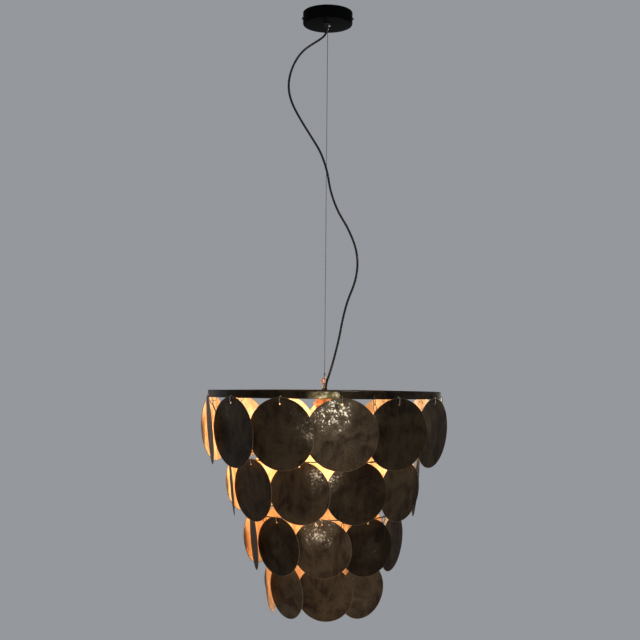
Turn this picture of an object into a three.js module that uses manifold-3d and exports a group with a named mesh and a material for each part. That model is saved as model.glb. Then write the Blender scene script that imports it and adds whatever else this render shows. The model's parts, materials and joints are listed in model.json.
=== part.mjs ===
// Pendant lamp: a steel wire and a slack flex carry a shade of four tiers of hung metal discs.
// Millimetres, +Z up, origin on the ceiling at the lamp's axis, the viewer's side is -Y.

import * as THREE from 'three';
import { mergeVertices } from 'three/addons/utils/BufferGeometryUtils.js';
import Module from 'manifold-3d';

const wasm = await Module();
wasm.setup();

// Clearances
const SEAT_GAP = 0.3;         // between pieces that rest on or pass through each other
const WELD = 0.1;             // overlap where pieces are welded or pinched together
const CUT_MARGIN = 5;         // by which a cutter sticks out of the piece that it cuts
const HOLE_SIDES = 10;
const SMALL_ROUND_SIDES = 10;
const WIRE_SIDES = 6;

// Ceiling canopy and what is inside it
const CANOPY_DIAMETER = 120;
const CANOPY_HEIGHT = 30;
const CANOPY_WALL = 1.2;
const CANOPY_EDGE_RADIUS = 3.5;
const CANOPY_SEGMENTS = 24;
const BRACKET_WIDTH = 22;
const BRACKET_THICKNESS = 2;
const BRACKET_TAB_DROP = 20;
const BRACKET_SLOT_DIAMETER = 5;
const BRACKET_SLOT_CENTRE = 34;
const SET_SCREW_DIAMETER = 4;
const SET_SCREW_HEAD_DIAMETER = 7;
const SET_SCREW_HEAD_HEIGHT = 2.4;
const SET_SCREW_LENGTH = 8;
const SET_SCREW_DEPTH = 14;   // below the ceiling
const TERMINAL_LENGTH = 32;
const TERMINAL_WIDTH = 15;
const TERMINAL_HEIGHT = 12;
const TERMINAL_WAYS = 3;
const TERMINAL_BORE = 4;
const TERMINAL_BORE_DROP = 7.2;  // below the block's top
const TERMINAL_TO_SCREW = 4.3;   // from the block's outer end to the set screw's tip

// Wire gripper and cord grip in the canopy's floor
const GRIPPER_NECK_DIAMETER = 10;
const GRIPPER_FLANGE_DIAMETER = 15;
const GRIPPER_FLANGE_HEIGHT = 3;
const GRIPPER_TOP_HEIGHT = 8; // above the canopy's floor
const GRIPPER_NOSE_LENGTH = 9;
const GRIPPER_NOSE_DIAMETER = 6;
const GRIPPER_TIP_DIAMETER = 4.4;
const FITTING_COLLAR_HEIGHT = 2.2;
const CORD_GRIP_PLACE = [-2, -14];
const CORD_GRIP_DIAMETER = 10;
const CORD_GRIP_FLANGE_DIAMETER = 12.4;
const CORD_GRIP_TOP_HEIGHT = 5;
const CORD_GRIP_NOSE_DIAMETER = 9.2;
const CORD_GRIP_TIP_DIAMETER = 7.6;
const CORD_GRIP_NOSE_LENGTH = 8;
const CORD_GRIP_SOCKET_DEPTH = 7;

// Suspension wire and the eye that the shade hangs on
const WIRE_DIAMETER = 1.5;
const WIRE_TAIL = 4;          // above the gripper
const WIRE_LOOP_RADIUS = 4.6;
const WIRE_LOOP_STEPS = 16;
const WIRE_IN_FERRULE = 1;
const FERRULE_DIAMETER = 4;
const FERRULE_LENGTH = 9;
const EYE_HEIGHT = -891.5;    // centre of the eye's ring
const EYE_OUTER_DIAMETER = 16;
const EYE_BAR_DIAMETER = 4.2;
const EYE_SHANK_DIAMETER = 8;
const EYE_NECK_DIAMETER = 6;
const EYE_NECK_TAPER = 2;
const EYE_NECK_INTO_RING = 2.5;
const EYE_RING_STEPS = 16;
const EYE_SHANK_ABOVE_NUT = 3;
const EYE_SHANK_IN_ROOF = 7;  // below the lampholder's top
const NUT_ACROSS_FLATS = 13;
const NUT_HEIGHT = 5;

// Flex
const FLEX_DIAMETER = 5.5;
const FLEX_SIDES = 8;
const FLEX_STEPS = 54;
const FLEX_LEAD = 21;         // straight run at each end
// Hand-set route from the cord grip to the frame; the first and last points lie on their seats
const FLEX_ROUTE = [
  [-6, -14, -60], [-19, -14, -71], [-37, -14, -82], [-55, -14, -95], [-69, -14, -111],
  [-80, -14, -130], [-87.5, -14, -150], [-92.5, -14, -175], [-91, -14, -203], [-81.5, -14, -232],
  [-62, -14, -268], [-39, -14, -305], [-15, -14, -345], [1, -14, -390], [11, -14, -440],
  [28, -14, -486], [52, -14, -528], [71, -14, -575], [76, -14, -615], [70, -14, -656],
  [53, -14, -702], [42, -14, -745], [33, -14, -792], [21, -14, -842], [10, -13.8, -880],
];

// Top frame: band ring and crossbars
const BAND_RADIUS = 273.75;   // at mid thickness
const BAND_THICKNESS = 2.5;
const BAND_HEIGHT = 16.5;
const BAND_TOP = -915;
const BAND_SEGMENTS = 39;
const BAND_HOLE_ABOVE_EDGE = 5.6;
const BAND_HOLE_DIAMETER = 6.6;
const CROSSBAR_WIDTH = 20;
const CROSSBAR_THICKNESS = 3;
const CROSSBAR_RISE = 2.5;
const CROSSBAR_AZIMUTH = 14;
const CROSSBAR_STEPS = 6;
const CROSSBAR_INTO_BAND = 0.5;
const CABLE_HOLE_DIAMETER = 8;
const CABLE_HOLE_OFFSET = 14; // along the front arm

// Lampholder and bulb
const HOLDER_DIAMETER = 42;
const HOLDER_LENGTH = 46;
const HOLDER_COLLAR_DIAMETER = 52;
const HOLDER_COLLAR_HEIGHT = 6;
const HOLDER_COLLAR_DROP = 26;
const HOLDER_ROOF = 9;
const HOLDER_CABLE_SOCKET_DEPTH = 4;
const HOLDER_SHOULDER = 3;    // slope round the top edge
const HOLDER_LIP_WIDTH = 1;
const HOLDER_LIP_HEIGHT = 1.5;
const HOLDER_SEGMENTS = 18;
const BULB_CAP_DIAMETER = 26;
const BULB_CAP_LENGTH = 27;
const BULB_CAP_TIP_DIAMETER = 9;
const BULB_CAP_TIP_HEIGHT = 3.5;
const BULB_CAP_SLOPE_WIDTH = 4;
const BULB_CAP_SLOPE_HEIGHT = 2.5;
const BULB_CAP_SEGMENTS = 16;
const BULB_DIAMETER = 60;
const BULB_GLASS_LENGTH = 82;
const BULB_NECK_DIAMETER = 25;
const BULB_NECK_BELOW_HOLDER = 2;
const BULB_NECK_PULL = 18;    // handles of the shoulder's curve
const BULB_GLOBE_PULL = 20;
const BULB_SHOULDER_STEPS = 6;
const BULB_CROWN_STEPS = 5;
const BULB_SEGMENTS = 18;

// Disc tiers, top to bottom. Azimuths in degrees, 0 at the viewer's side, positive to the right.
const DISC_THICKNESS = 1.2;
const DISC_DOME = 3;
const DISC_LEAN = 5.2;        // bottom inwards
const DISC_HOLE_DIAMETER = 4.2;
const DISC_RIM_SIDES = 16;
const DISC_CROWN_SIDES = 4;   // corners of the flat crown in the middle of the dome
const DISC_CROWN_SHARE = 0.5; // crown radius over disc radius
const DISC_HOLE_SIDES = 6;
const UPPER_DISC_DIAMETER = 158;
const SECOND_DISC_DIAMETER = 140;
const THIRD_DISC_DIAMETER = 132;
const LOWEST_DISC_DIAMETER = 128;
const UPPER_HOLE_INSET = 14;  // from the disc's rim to the hole's centre
const LOWER_HOLE_INSET = 12;
const LAP_GAP = 0.6;          // between a disc and the one that it overlaps

// Rings, and the wire links that hang the discs from the band and from the rings
const RING_WIRE = 3;
const RING_SEGMENTS = 40;
const RING_SIDES = 6;
const SECOND_RING_RADIUS = 218.5;
const THIRD_RING_RADIUS = 168.4;
const LOWEST_RING_RADIUS = 122;
const SECOND_RING_HEIGHT = -1069;
const THIRD_RING_HEIGHT = -1199;
const LOWEST_RING_HEIGHT = -1306;
const LINK_WIRE = 1.4;
const BAND_LINK_SEAT = 0.4;   // of the link's top wire below the middle of its hole
const BAND_LINK_LENGTH = 15;  // between the middles of the wire at top and bottom
const BAND_LINK_HALF_WIDTH = 6;
const BAND_LINK_IN = 4.8;     // reach of the link's wire inwards from the point that it swings on
const RING_LINK_LENGTH = 11.8;
const RING_LINK_RISE = 3.8;   // of the link's top wire above the ring's middle
const RING_LINK_HALF_WIDTH = 5.2;
const RING_LINK_IN = 3.4;
const BAND_LINK = { length: BAND_LINK_LENGTH, rise: 0, halfWidth: BAND_LINK_HALF_WIDTH, reachIn: BAND_LINK_IN };
const RING_LINK = {
  length: RING_LINK_LENGTH, rise: RING_LINK_RISE, halfWidth: RING_LINK_HALF_WIDTH, reachIn: RING_LINK_IN,
};
const TIERS = [
  { name: 'upper', discs: 13, firstAzimuth: 7.6, radius: BAND_RADIUS,
    height: BAND_TOP - BAND_HEIGHT + BAND_HOLE_ABOVE_EDGE - BAND_LINK_SEAT,
    discDiameter: UPPER_DISC_DIAMETER, holeInset: UPPER_HOLE_INSET, link: BAND_LINK },
  { name: 'second', discs: 11, firstAzimuth: -14, radius: SECOND_RING_RADIUS, height: SECOND_RING_HEIGHT,
    discDiameter: SECOND_DISC_DIAMETER, holeInset: LOWER_HOLE_INSET, link: RING_LINK },
  { name: 'third', discs: 10, firstAzimuth: -1, radius: THIRD_RING_RADIUS, height: THIRD_RING_HEIGHT,
    discDiameter: THIRD_DISC_DIAMETER, holeInset: LOWER_HOLE_INSET, link: RING_LINK },
  { name: 'lowest', discs: 8, firstAzimuth: 1.7, radius: LOWEST_RING_RADIUS, height: LOWEST_RING_HEIGHT,
    discDiameter: LOWEST_DISC_DIAMETER, holeInset: LOWER_HOLE_INSET, link: RING_LINK },
];

// Chains between the rings
const CHAIN_WIRE = 1.6;
const CHAIN_HALF_WIDTH = 3.6;
const CHAIN_PITCH = 20;
const CHAIN_END_SHIFT = 5;    // keeps two chain ends on one ring apart
const CHAINS = 3;
const CHAIN_AZIMUTHS = [25, -35, 50]; // first chain of each lower ring
const LINK_WIRE_SIDES = 3;

const PARTS = new THREE.Group();
const rad = THREE.MathUtils.degToRad;

function material(colour, roughness, metalness) {
  return new THREE.MeshStandardMaterial({ color: colour, roughness, metalness });
}

function addPart(name, geometry, look) {
  const mesh = new THREE.Mesh(geometry, look);
  mesh.name = name;
  PARTS.add(mesh);
  return mesh;
}

// Solids and geometries

function toSolid(geometry) {
  const bare = geometry.clone();
  bare.deleteAttribute('normal');
  bare.deleteAttribute('uv');
  const merged = mergeVertices(bare, 1e-4);
  const vertProperties = new Float32Array(merged.attributes.position.array);
  const triVerts = new Uint32Array(merged.index.array);
  return new wasm.Manifold(new wasm.Mesh({ numProp: 3, vertProperties, triVerts }));
}

function toGeometry(solid) {
  const mesh = solid.getMesh();
  const geometry = new THREE.BufferGeometry();
  geometry.setAttribute('position', new THREE.BufferAttribute(mesh.vertProperties, 3));
  geometry.setIndex(new THREE.BufferAttribute(mesh.triVerts, 1));
  return geometry;
}

function lathe(profile, segments) {
  const points = profile.map(([r, z]) => new THREE.Vector2(r, z));
  return new THREE.LatheGeometry(points, segments).rotateX(Math.PI / 2);
}

function cylinder(radius, bottom, top, sides, x = 0, y = 0) {
  const geometry = new THREE.CylinderGeometry(radius, radius, top - bottom, sides);
  return geometry.rotateX(Math.PI / 2).translate(x, y, (top + bottom) / 2);
}

function box(sizeX, sizeY, bottom, top, x = 0, y = 0) {
  return new THREE.BoxGeometry(sizeX, sizeY, top - bottom).translate(x, y, (top + bottom) / 2);
}

// A closed ring of round wire through the points of a flat loop whose plane has this normal
function loopTube(points, normal, radius, sides) {
  const count = points.length;
  const positions = [];
  const index = [];
  for (let i = 0; i < count; i += 1) {
    const before = points[(i + count - 1) % count];
    const after = points[(i + 1) % count];
    const into = points[i].clone().sub(before).normalize();
    const out = after.clone().sub(points[i]).normalize();
    const mitre = 1 / Math.sqrt((1 + into.dot(out)) / 2);
    const along = into.add(out).normalize();
    const side = along.clone().cross(normal).normalize();
    for (let j = 0; j < sides; j += 1) {
      const turn = (j / sides) * Math.PI * 2;
      const point = points[i].clone();
      point.addScaledVector(side, Math.cos(turn) * radius * mitre);
      point.addScaledVector(normal, Math.sin(turn) * radius);
      positions.push(point.x, point.y, point.z);
      const next = ((i + 1) % count) * sides;
      const here = i * sides;
      const up = (j + 1) % sides;
      index.push(here + j, next + j, here + up, next + j, next + up, here + up);
    }
  }
  const geometry = new THREE.BufferGeometry();
  geometry.setAttribute('position', new THREE.Float32BufferAttribute(positions, 3));
  geometry.setIndex(index);
  return geometry;
}

// The eight corners of an oval link about its centre, with its length along `axis`
function linkLoop(centre, axis, across, halfLength, halfWidth) {
  const flat = halfWidth * Math.tan(Math.PI / 8);
  const shoulder = halfLength - halfWidth + flat;
  const corners = [
    [flat, halfLength], [halfWidth, shoulder], [halfWidth, -shoulder], [flat, -halfLength],
    [-flat, -halfLength], [-halfWidth, -shoulder], [-halfWidth, shoulder], [-flat, halfLength],
  ];
  return corners.map(([w, l]) => centre.clone().addScaledVector(across, w).addScaledVector(axis, l));
}

function link(centre, axis, across, halfLength, halfWidth, wire) {
  const normal = across.clone().cross(axis).normalize();
  return loopTube(linkLoop(centre, axis, across, halfLength, halfWidth), normal, wire / 2, LINK_WIRE_SIDES);
}

// Places on a tier's ring

function ringPoint(tier, azimuth) {
  const turn = rad(azimuth);
  return new THREE.Vector3(Math.sin(turn) * tier.radius, -Math.cos(turn) * tier.radius, tier.height);
}

function nearestGap(tier, target) {
  const pitch = 360 / tier.discs;
  const firstGap = tier.firstAzimuth + pitch / 2;
  return firstGap + Math.round((target - firstGap) / pitch) * pitch;
}

// Turn of each disc about the vertical that lets its right edge pass in front of its neighbour
function lapTwist(tier) {
  const half = Math.PI / tier.discs;
  const clear = (DISC_THICKNESS + LAP_GAP + DISC_DOME) / Math.sin(2 * half);
  return Math.asin(((tier.discDiameter / 2 + clear) * Math.cos(half)) / tier.radius) - half;
}

// A shallow dome shell about its centre, hollow side towards +Y, with its rim in the XZ plane
function domeShell(radius) {
  const rim = DISC_RIM_SIDES;
  const crown = DISC_CROWN_SIDES;
  const perCorner = rim / crown;
  const crownDepth = DISC_DOME * (1 - DISC_CROWN_SHARE ** 2);
  const positions = [];
  for (const skin of [-DISC_THICKNESS / 2, DISC_THICKNESS / 2]) {
    for (let i = 0; i < rim; i += 1) {
      const turn = (i / rim) * Math.PI * 2;
      positions.push(Math.cos(turn) * radius, skin, Math.sin(turn) * radius);
    }
    for (let i = 0; i < crown; i += 1) {
      const turn = ((i + 0.5) / crown) * Math.PI * 2;
      const reach = radius * DISC_CROWN_SHARE;
      positions.push(Math.cos(turn) * reach, skin - crownDepth, Math.sin(turn) * reach);
    }
  }
  const skinVertices = rim + crown;
  const index = [];
  for (const back of [false, true]) {
    const face = (a, b, c) => index.push(...(back ? [a, c, b].map((v) => v + skinVertices) : [a, b, c]));
    for (let i = 0; i < crown; i += 1) {
      for (let j = 0; j < perCorner; j += 1) {
        face(rim + i, i * perCorner + j, (i * perCorner + j + 1) % rim);
      }
      face(rim + i, ((i + 1) * perCorner) % rim, rim + ((i + 1) % crown));
      if (i > 1) face(rim, rim + i - 1, rim + i);
    }
  }
  for (let i = 0; i < rim; i += 1) {
    const next = (i + 1) % rim;
    index.push(i, i + skinVertices, next, next, i + skinVertices, next + skinVertices);
  }
  const geometry = new THREE.BufferGeometry();
  geometry.setAttribute('position', new THREE.Float32BufferAttribute(positions, 3));
  geometry.setIndex(index);
  return geometry;
}

// One disc with its hole and its wire link, about the point that it swings on.
// X runs along the disc, -Y outwards. Its weight hangs plumb below that point.
function discWithLink(tier) {
  const radius = tier.discDiameter / 2;
  const lean = rad(DISC_LEAN);
  const holeUp = radius - tier.holeInset;
  const barToHole = DISC_HOLE_DIAMETER / 2 - LINK_WIRE / 2 + WELD;
  const centreIn = (DISC_DOME / 2) * Math.cos(lean);
  const { length, rise, halfWidth, reachIn } = tier.link;
  const centreUp = rise - length - (holeUp + barToHole) * Math.cos(lean);
  const punch = cylinder(DISC_HOLE_DIAMETER / 2, -CUT_MARGIN, CUT_MARGIN, DISC_HOLE_SIDES);
  punch.rotateX(Math.PI / 2).translate(0, 0, holeUp);
  const shell = toSolid(domeShell(radius)).subtract(toSolid(punch));
  const disc = toGeometry(shell).rotateX(lean).translate(0, centreIn, centreUp);
  const centre = new THREE.Vector3(0, reachIn - halfWidth, rise - length / 2);
  const up = new THREE.Vector3(0, 0, 1);
  const inwards = new THREE.Vector3(0, 1, 0);
  const ring = link(centre, up, inwards, length / 2, halfWidth, LINK_WIRE);
  return toGeometry(toSolid(disc).add(toSolid(ring)));
}

function addDiscs(tier, look) {
  const geometry = discWithLink(tier);
  const twist = lapTwist(tier);
  for (let i = 0; i < tier.discs; i += 1) {
    const azimuth = tier.firstAzimuth + (i * 360) / tier.discs;
    const number = String(i + 1).padStart(2, '0');
    const disc = addPart(`${tier.name}_disc_${number}`, geometry, look.clone());
    disc.position.copy(ringPoint(tier, azimuth));
    disc.rotation.z = rad(azimuth) - twist;
  }
}

// A straight run of chain from above to below: links alternate edge-on and flat
function chainLinks(top, bottom, topReach, bottomReach, endAcross) {
  const axis = top.clone().sub(bottom).normalize();
  const start = top.clone().addScaledVector(axis, topReach);
  const end = bottom.clone().addScaledVector(axis, -bottomReach);
  const overlap = CHAIN_WIRE - WELD;
  const run = start.distanceTo(end);
  const count = 2 * Math.round((run / CHAIN_PITCH - 1) / 2) + 1;
  const pitch = (run - overlap) / count;
  const flat = endAcross.clone().addScaledVector(axis, -endAcross.dot(axis)).normalize();
  const upright = flat.clone().cross(axis).normalize();
  const solids = [];
  for (let i = 0; i < count; i += 1) {
    const middle = start.clone().addScaledVector(axis, -(overlap / 2 + pitch * (i + 0.5)));
    const across = i % 2 === 0 ? flat : upright;
    solids.push(toSolid(link(middle, axis, across, (pitch + overlap) / 2, CHAIN_HALF_WIDTH, CHAIN_WIRE)));
  }
  return solids;
}

function chainEnds(upper, lower, firstAzimuth) {
  return Array.from({ length: CHAINS }, (_, i) => {
    const target = firstAzimuth + (i * 360) / CHAINS;
    const shiftUp = THREE.MathUtils.radToDeg(CHAIN_END_SHIFT / upper.radius);
    const shiftDown = THREE.MathUtils.radToDeg(CHAIN_END_SHIFT / lower.radius);
    return [nearestGap(upper, target) + shiftUp, nearestGap(lower, target) - shiftDown];
  });
}

// A wire ring with the chains that hang it from the ring above
function hungRing(upper, lower, firstAzimuth) {
  const wire = new THREE.TorusGeometry(lower.radius, RING_WIRE / 2, RING_SIDES, RING_SEGMENTS);
  const solids = [toSolid(wire.translate(0, 0, lower.height))];
  const fromBand = upper === TIERS[0];
  const topReach = fromBand ? 0 : RING_WIRE / 2 + CHAIN_WIRE / 2 + SEAT_GAP;
  const ringFlat = (RING_WIRE / 2) * Math.cos(Math.PI / RING_SIDES);
  const bottomReach = ringFlat + CHAIN_WIRE / 2 - WELD;
  for (const [above, below] of chainEnds(upper, lower, firstAzimuth)) {
    const top = ringPoint(upper, above);
    const bottom = ringPoint(lower, below);
    const outwards = new THREE.Vector3(top.x + bottom.x, top.y + bottom.y, 0).normalize();
    solids.push(...chainLinks(top, bottom, topReach, bottomReach, outwards));
  }
  return toGeometry(wasm.Manifold.union(solids));
}

// Band ring with its holes, and the crossbars welded into it
function topFrame() {
  const outer = BAND_RADIUS + BAND_THICKNESS / 2;
  const inner = BAND_RADIUS - BAND_THICKNESS / 2;
  const bottom = BAND_TOP - BAND_HEIGHT;
  const profile = [[inner, bottom], [outer, bottom], [outer, BAND_TOP], [inner, BAND_TOP], [inner, bottom]];
  let frame = toSolid(lathe(profile, BAND_SEGMENTS));
  const side = new THREE.Shape();
  const reach = inner + CROSSBAR_INTO_BAND;
  const rise = (u) => CROSSBAR_RISE * (1 - (u / reach) ** 2);
  for (let i = 0; i <= CROSSBAR_STEPS; i += 1) {
    const u = -reach + (2 * reach * i) / CROSSBAR_STEPS;
    if (i === 0) side.moveTo(u, rise(u));
    else side.lineTo(u, rise(u));
  }
  for (let i = CROSSBAR_STEPS; i >= 0; i -= 1) {
    const u = -reach + (2 * reach * i) / CROSSBAR_STEPS;
    side.lineTo(u, rise(u) - CROSSBAR_THICKNESS);
  }
  const bar = new THREE.ExtrudeGeometry(side, { depth: CROSSBAR_WIDTH, bevelEnabled: false });
  bar.translate(0, 0, -CROSSBAR_WIDTH / 2).rotateX(Math.PI / 2).translate(0, 0, BAND_TOP);
  for (const turn of [90 + CROSSBAR_AZIMUTH, CROSSBAR_AZIMUTH]) {
    frame = frame.add(toSolid(bar.clone().rotateZ(rad(turn))));
  }
  const low = crossbarTop() - CROSSBAR_THICKNESS - CUT_MARGIN;
  const high = crossbarTop() + CUT_MARGIN;
  const shankHole = cylinder(EYE_SHANK_DIAMETER / 2 + SEAT_GAP, low, high, HOLE_SIDES);
  const cableHole = cylinder(CABLE_HOLE_DIAMETER / 2, low, high, HOLE_SIDES, ...cablePlace());
  frame = frame.subtract(toSolid(shankHole)).subtract(toSolid(cableHole));
  const upper = TIERS[0];
  const discs = Array.from({ length: upper.discs }, (_, i) => upper.firstAzimuth + (i * 360) / upper.discs);
  const chains = chainEnds(upper, TIERS[1], CHAIN_AZIMUTHS[0]).map(([above]) => above);
  for (const azimuth of [...discs, ...chains]) {
    const punch = cylinder(BAND_HOLE_DIAMETER / 2, -CUT_MARGIN, CUT_MARGIN, DISC_HOLE_SIDES);
    punch.rotateX(Math.PI / 2).rotateZ(rad(azimuth));
    const place = ringPoint(upper, azimuth).setZ(bottom + BAND_HOLE_ABOVE_EDGE);
    frame = frame.subtract(toSolid(punch.translate(place.x, place.y, place.z)));
  }
  return toGeometry(frame);
}

// Where the flex goes through the front arm of the crossbar
function cablePlace() {
  const turn = rad(CROSSBAR_AZIMUTH);
  return [Math.sin(turn) * CABLE_HOLE_OFFSET, -Math.cos(turn) * CABLE_HOLE_OFFSET];
}

// Ceiling canopy: a low cup open to the ceiling
function canopy() {
  const radius = CANOPY_DIAMETER / 2;
  const floor = -CANOPY_HEIGHT;
  const edge = (r, downwards) => [0, 1, 2].map((step) => {
    const turn = (downwards ? step : 2 - step) * (Math.PI / 4);
    const centre = radius - CANOPY_EDGE_RADIUS;
    return [centre + Math.cos(turn) * r, floor + CANOPY_EDGE_RADIUS - Math.sin(turn) * r];
  });
  const outer = edge(CANOPY_EDGE_RADIUS, true);
  const inner = edge(CANOPY_EDGE_RADIUS - CANOPY_WALL, false);
  const profile = [
    [0, floor + CANOPY_WALL], ...inner, [radius - CANOPY_WALL, 0], [radius, 0], ...outer, [0, floor],
  ];
  let cup = toSolid(lathe(profile.reverse(), CANOPY_SEGMENTS));
  const low = floor - CUT_MARGIN;
  const high = floor + CUT_MARGIN;
  const gripHole = cylinder(GRIPPER_NECK_DIAMETER / 2 + SEAT_GAP, low, high, HOLE_SIDES);
  const cordHole = cylinder(CORD_GRIP_DIAMETER / 2 + SEAT_GAP, low, high, HOLE_SIDES, ...CORD_GRIP_PLACE);
  cup = cup.subtract(toSolid(gripHole)).subtract(toSolid(cordHole));
  return toGeometry(cup.subtract(toSolid(setScrewBore(CANOPY_DIAMETER))));
}

// One long rod that cuts both set screw holes
function setScrewBore(length) {
  const rod = cylinder(SET_SCREW_DIAMETER / 2 + SEAT_GAP, -length, length, HOLE_SIDES);
  return rod.rotateY(Math.PI / 2).translate(0, 0, -SET_SCREW_DEPTH);
}

function ceilingBracket() {
  const innerWall = CANOPY_DIAMETER / 2 - CANOPY_WALL - SEAT_GAP * 2;
  const reach = Math.sqrt(innerWall ** 2 - (BRACKET_WIDTH / 2) ** 2);
  let bracket = toSolid(box(2 * reach, BRACKET_WIDTH, -BRACKET_TAB_DROP, 0));
  const hollowLength = 2 * (reach - BRACKET_THICKNESS);
  const hollow = box(hollowLength, BRACKET_WIDTH * 2, -BRACKET_TAB_DROP * 2, -BRACKET_THICKNESS);
  bracket = bracket.subtract(toSolid(hollow)).subtract(toSolid(setScrewBore(CANOPY_DIAMETER)));
  for (const x of [-BRACKET_SLOT_CENTRE, BRACKET_SLOT_CENTRE]) {
    const slot = cylinder(BRACKET_SLOT_DIAMETER / 2, -CUT_MARGIN, CUT_MARGIN, HOLE_SIDES, x);
    bracket = bracket.subtract(toSolid(slot));
  }
  return toGeometry(bracket);
}

// Distance from the lamp's axis to the underside of a set screw's head
function setScrewSeat() {
  return CANOPY_DIAMETER / 2 + SEAT_GAP;
}

function setScrew() {
  const seat = setScrewSeat();
  const head = cylinder(SET_SCREW_HEAD_DIAMETER / 2, seat, seat + SET_SCREW_HEAD_HEIGHT, SMALL_ROUND_SIDES);
  const shank = cylinder(SET_SCREW_DIAMETER / 2, seat - SET_SCREW_LENGTH, seat + WELD, SMALL_ROUND_SIDES);
  const screw = toSolid(head).add(toSolid(shank));
  return toGeometry(screw).rotateY(Math.PI / 2).translate(0, 0, -SET_SCREW_DEPTH);
}

function terminalBlock() {
  const top = -BRACKET_THICKNESS - SEAT_GAP;
  const outerEnd = setScrewSeat() - SET_SCREW_LENGTH - TERMINAL_TO_SCREW;
  const centre = TERMINAL_LENGTH / 2 - outerEnd;
  let block = toSolid(box(TERMINAL_LENGTH, TERMINAL_WIDTH, top - TERMINAL_HEIGHT, top, centre));
  for (let i = 0; i < TERMINAL_WAYS; i += 1) {
    const x = centre + (i - (TERMINAL_WAYS - 1) / 2) * (TERMINAL_LENGTH / TERMINAL_WAYS);
    const way = cylinder(TERMINAL_BORE / 2, -TERMINAL_WIDTH, TERMINAL_WIDTH, HOLE_SIDES);
    way.rotateX(Math.PI / 2).translate(x, 0, top - TERMINAL_BORE_DROP);
    block = block.subtract(toSolid(way));
  }
  return toGeometry(block);
}

// Fitting clamped through the canopy's floor: a flange above, a collar below and a nose
function floorFitting(neck, flange, flangeHeight, above, nose, noseTip, noseLength, bore, boreDepth) {
  const floorTop = -CANOPY_HEIGHT + CANOPY_WALL + SEAT_GAP;
  const floorUnder = -CANOPY_HEIGHT - SEAT_GAP;
  const collar = (neck + flange) / 2;
  const collarUnder = floorUnder - FITTING_COLLAR_HEIGHT;
  const tip = collarUnder - noseLength;
  const top = floorTop + above;
  const outside = [
    [neck, top], [neck, floorTop + flangeHeight], [flange, floorTop + flangeHeight], [flange, floorTop],
    [neck, floorTop], [neck, floorUnder], [collar, floorUnder], [collar, collarUnder],
    [nose, collarUnder], [noseTip, tip], [bore, tip],
  ];
  const inside = boreDepth ? [[bore, tip + boreDepth], [0, tip + boreDepth], [0, top]] : [[bore, top]];
  return { profile: [...outside, ...inside, outside[0]], tip };
}

function gripperParts() {
  return floorFitting(GRIPPER_NECK_DIAMETER / 2, GRIPPER_FLANGE_DIAMETER / 2, GRIPPER_FLANGE_HEIGHT,
    GRIPPER_TOP_HEIGHT, GRIPPER_NOSE_DIAMETER / 2, GRIPPER_TIP_DIAMETER / 2, GRIPPER_NOSE_LENGTH,
    WIRE_DIAMETER / 2 + SEAT_GAP, 0);
}

function cordGripParts() {
  return floorFitting(CORD_GRIP_DIAMETER / 2, CORD_GRIP_FLANGE_DIAMETER / 2, GRIPPER_FLANGE_HEIGHT,
    CORD_GRIP_TOP_HEIGHT, CORD_GRIP_NOSE_DIAMETER / 2, CORD_GRIP_TIP_DIAMETER / 2,
    CORD_GRIP_NOSE_LENGTH, FLEX_DIAMETER / 2 + SEAT_GAP, CORD_GRIP_SOCKET_DEPTH);
}

// The wire hangs in the gripper and ends in a crimped loop through the eye
function wireLoopBottom() {
  return EYE_HEIGHT + EYE_OUTER_DIAMETER / 2 - EYE_BAR_DIAMETER - SEAT_GAP - WIRE_DIAMETER / 2;
}

function suspensionWire() {
  const top = -CANOPY_HEIGHT + CANOPY_WALL + SEAT_GAP + GRIPPER_TOP_HEIGHT + WIRE_TAIL;
  const loopCentre = wireLoopBottom() + WIRE_LOOP_RADIUS;
  const ferruleBottom = loopCentre + WIRE_LOOP_RADIUS - WIRE_DIAMETER;
  const ferruleTop = ferruleBottom + FERRULE_LENGTH;
  const loop = new THREE.TorusGeometry(WIRE_LOOP_RADIUS, WIRE_DIAMETER / 2, WIRE_SIDES, WIRE_LOOP_STEPS);
  loop.rotateY(Math.PI / 2).translate(0, 0, loopCentre);
  const wire = toSolid(cylinder(WIRE_DIAMETER / 2, ferruleTop - WIRE_IN_FERRULE, top, WIRE_SIDES));
  const ferrule = toSolid(cylinder(FERRULE_DIAMETER / 2, ferruleBottom, ferruleTop, SMALL_ROUND_SIDES));
  return toGeometry(wire.add(ferrule).add(toSolid(loop)));
}

function topEye() {
  const ringRadius = (EYE_OUTER_DIAMETER - EYE_BAR_DIAMETER) / 2;
  const ring = new THREE.TorusGeometry(ringRadius, EYE_BAR_DIAMETER / 2, WIRE_SIDES, EYE_RING_STEPS);
  ring.rotateX(Math.PI / 2).translate(0, 0, EYE_HEIGHT);
  const ringBottom = EYE_HEIGHT - EYE_OUTER_DIAMETER / 2;
  const shankTop = crossbarTop() + NUT_HEIGHT + EYE_SHANK_ABOVE_NUT;
  const shankBottom = holderTop() - EYE_SHANK_IN_ROOF;
  const neckTop = ringBottom + EYE_NECK_INTO_RING;
  const profile = [
    [0, shankBottom], [EYE_SHANK_DIAMETER / 2, shankBottom], [EYE_SHANK_DIAMETER / 2, shankTop],
    [EYE_NECK_DIAMETER / 2, shankTop + EYE_NECK_TAPER], [EYE_NECK_DIAMETER / 2, neckTop], [0, neckTop],
  ];
  return toGeometry(toSolid(ring).add(toSolid(lathe(profile, SMALL_ROUND_SIDES))));
}

function crossbarTop() {
  return BAND_TOP + CROSSBAR_RISE;
}

function holderTop() {
  return crossbarTop() - CROSSBAR_THICKNESS - SEAT_GAP;
}

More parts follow.
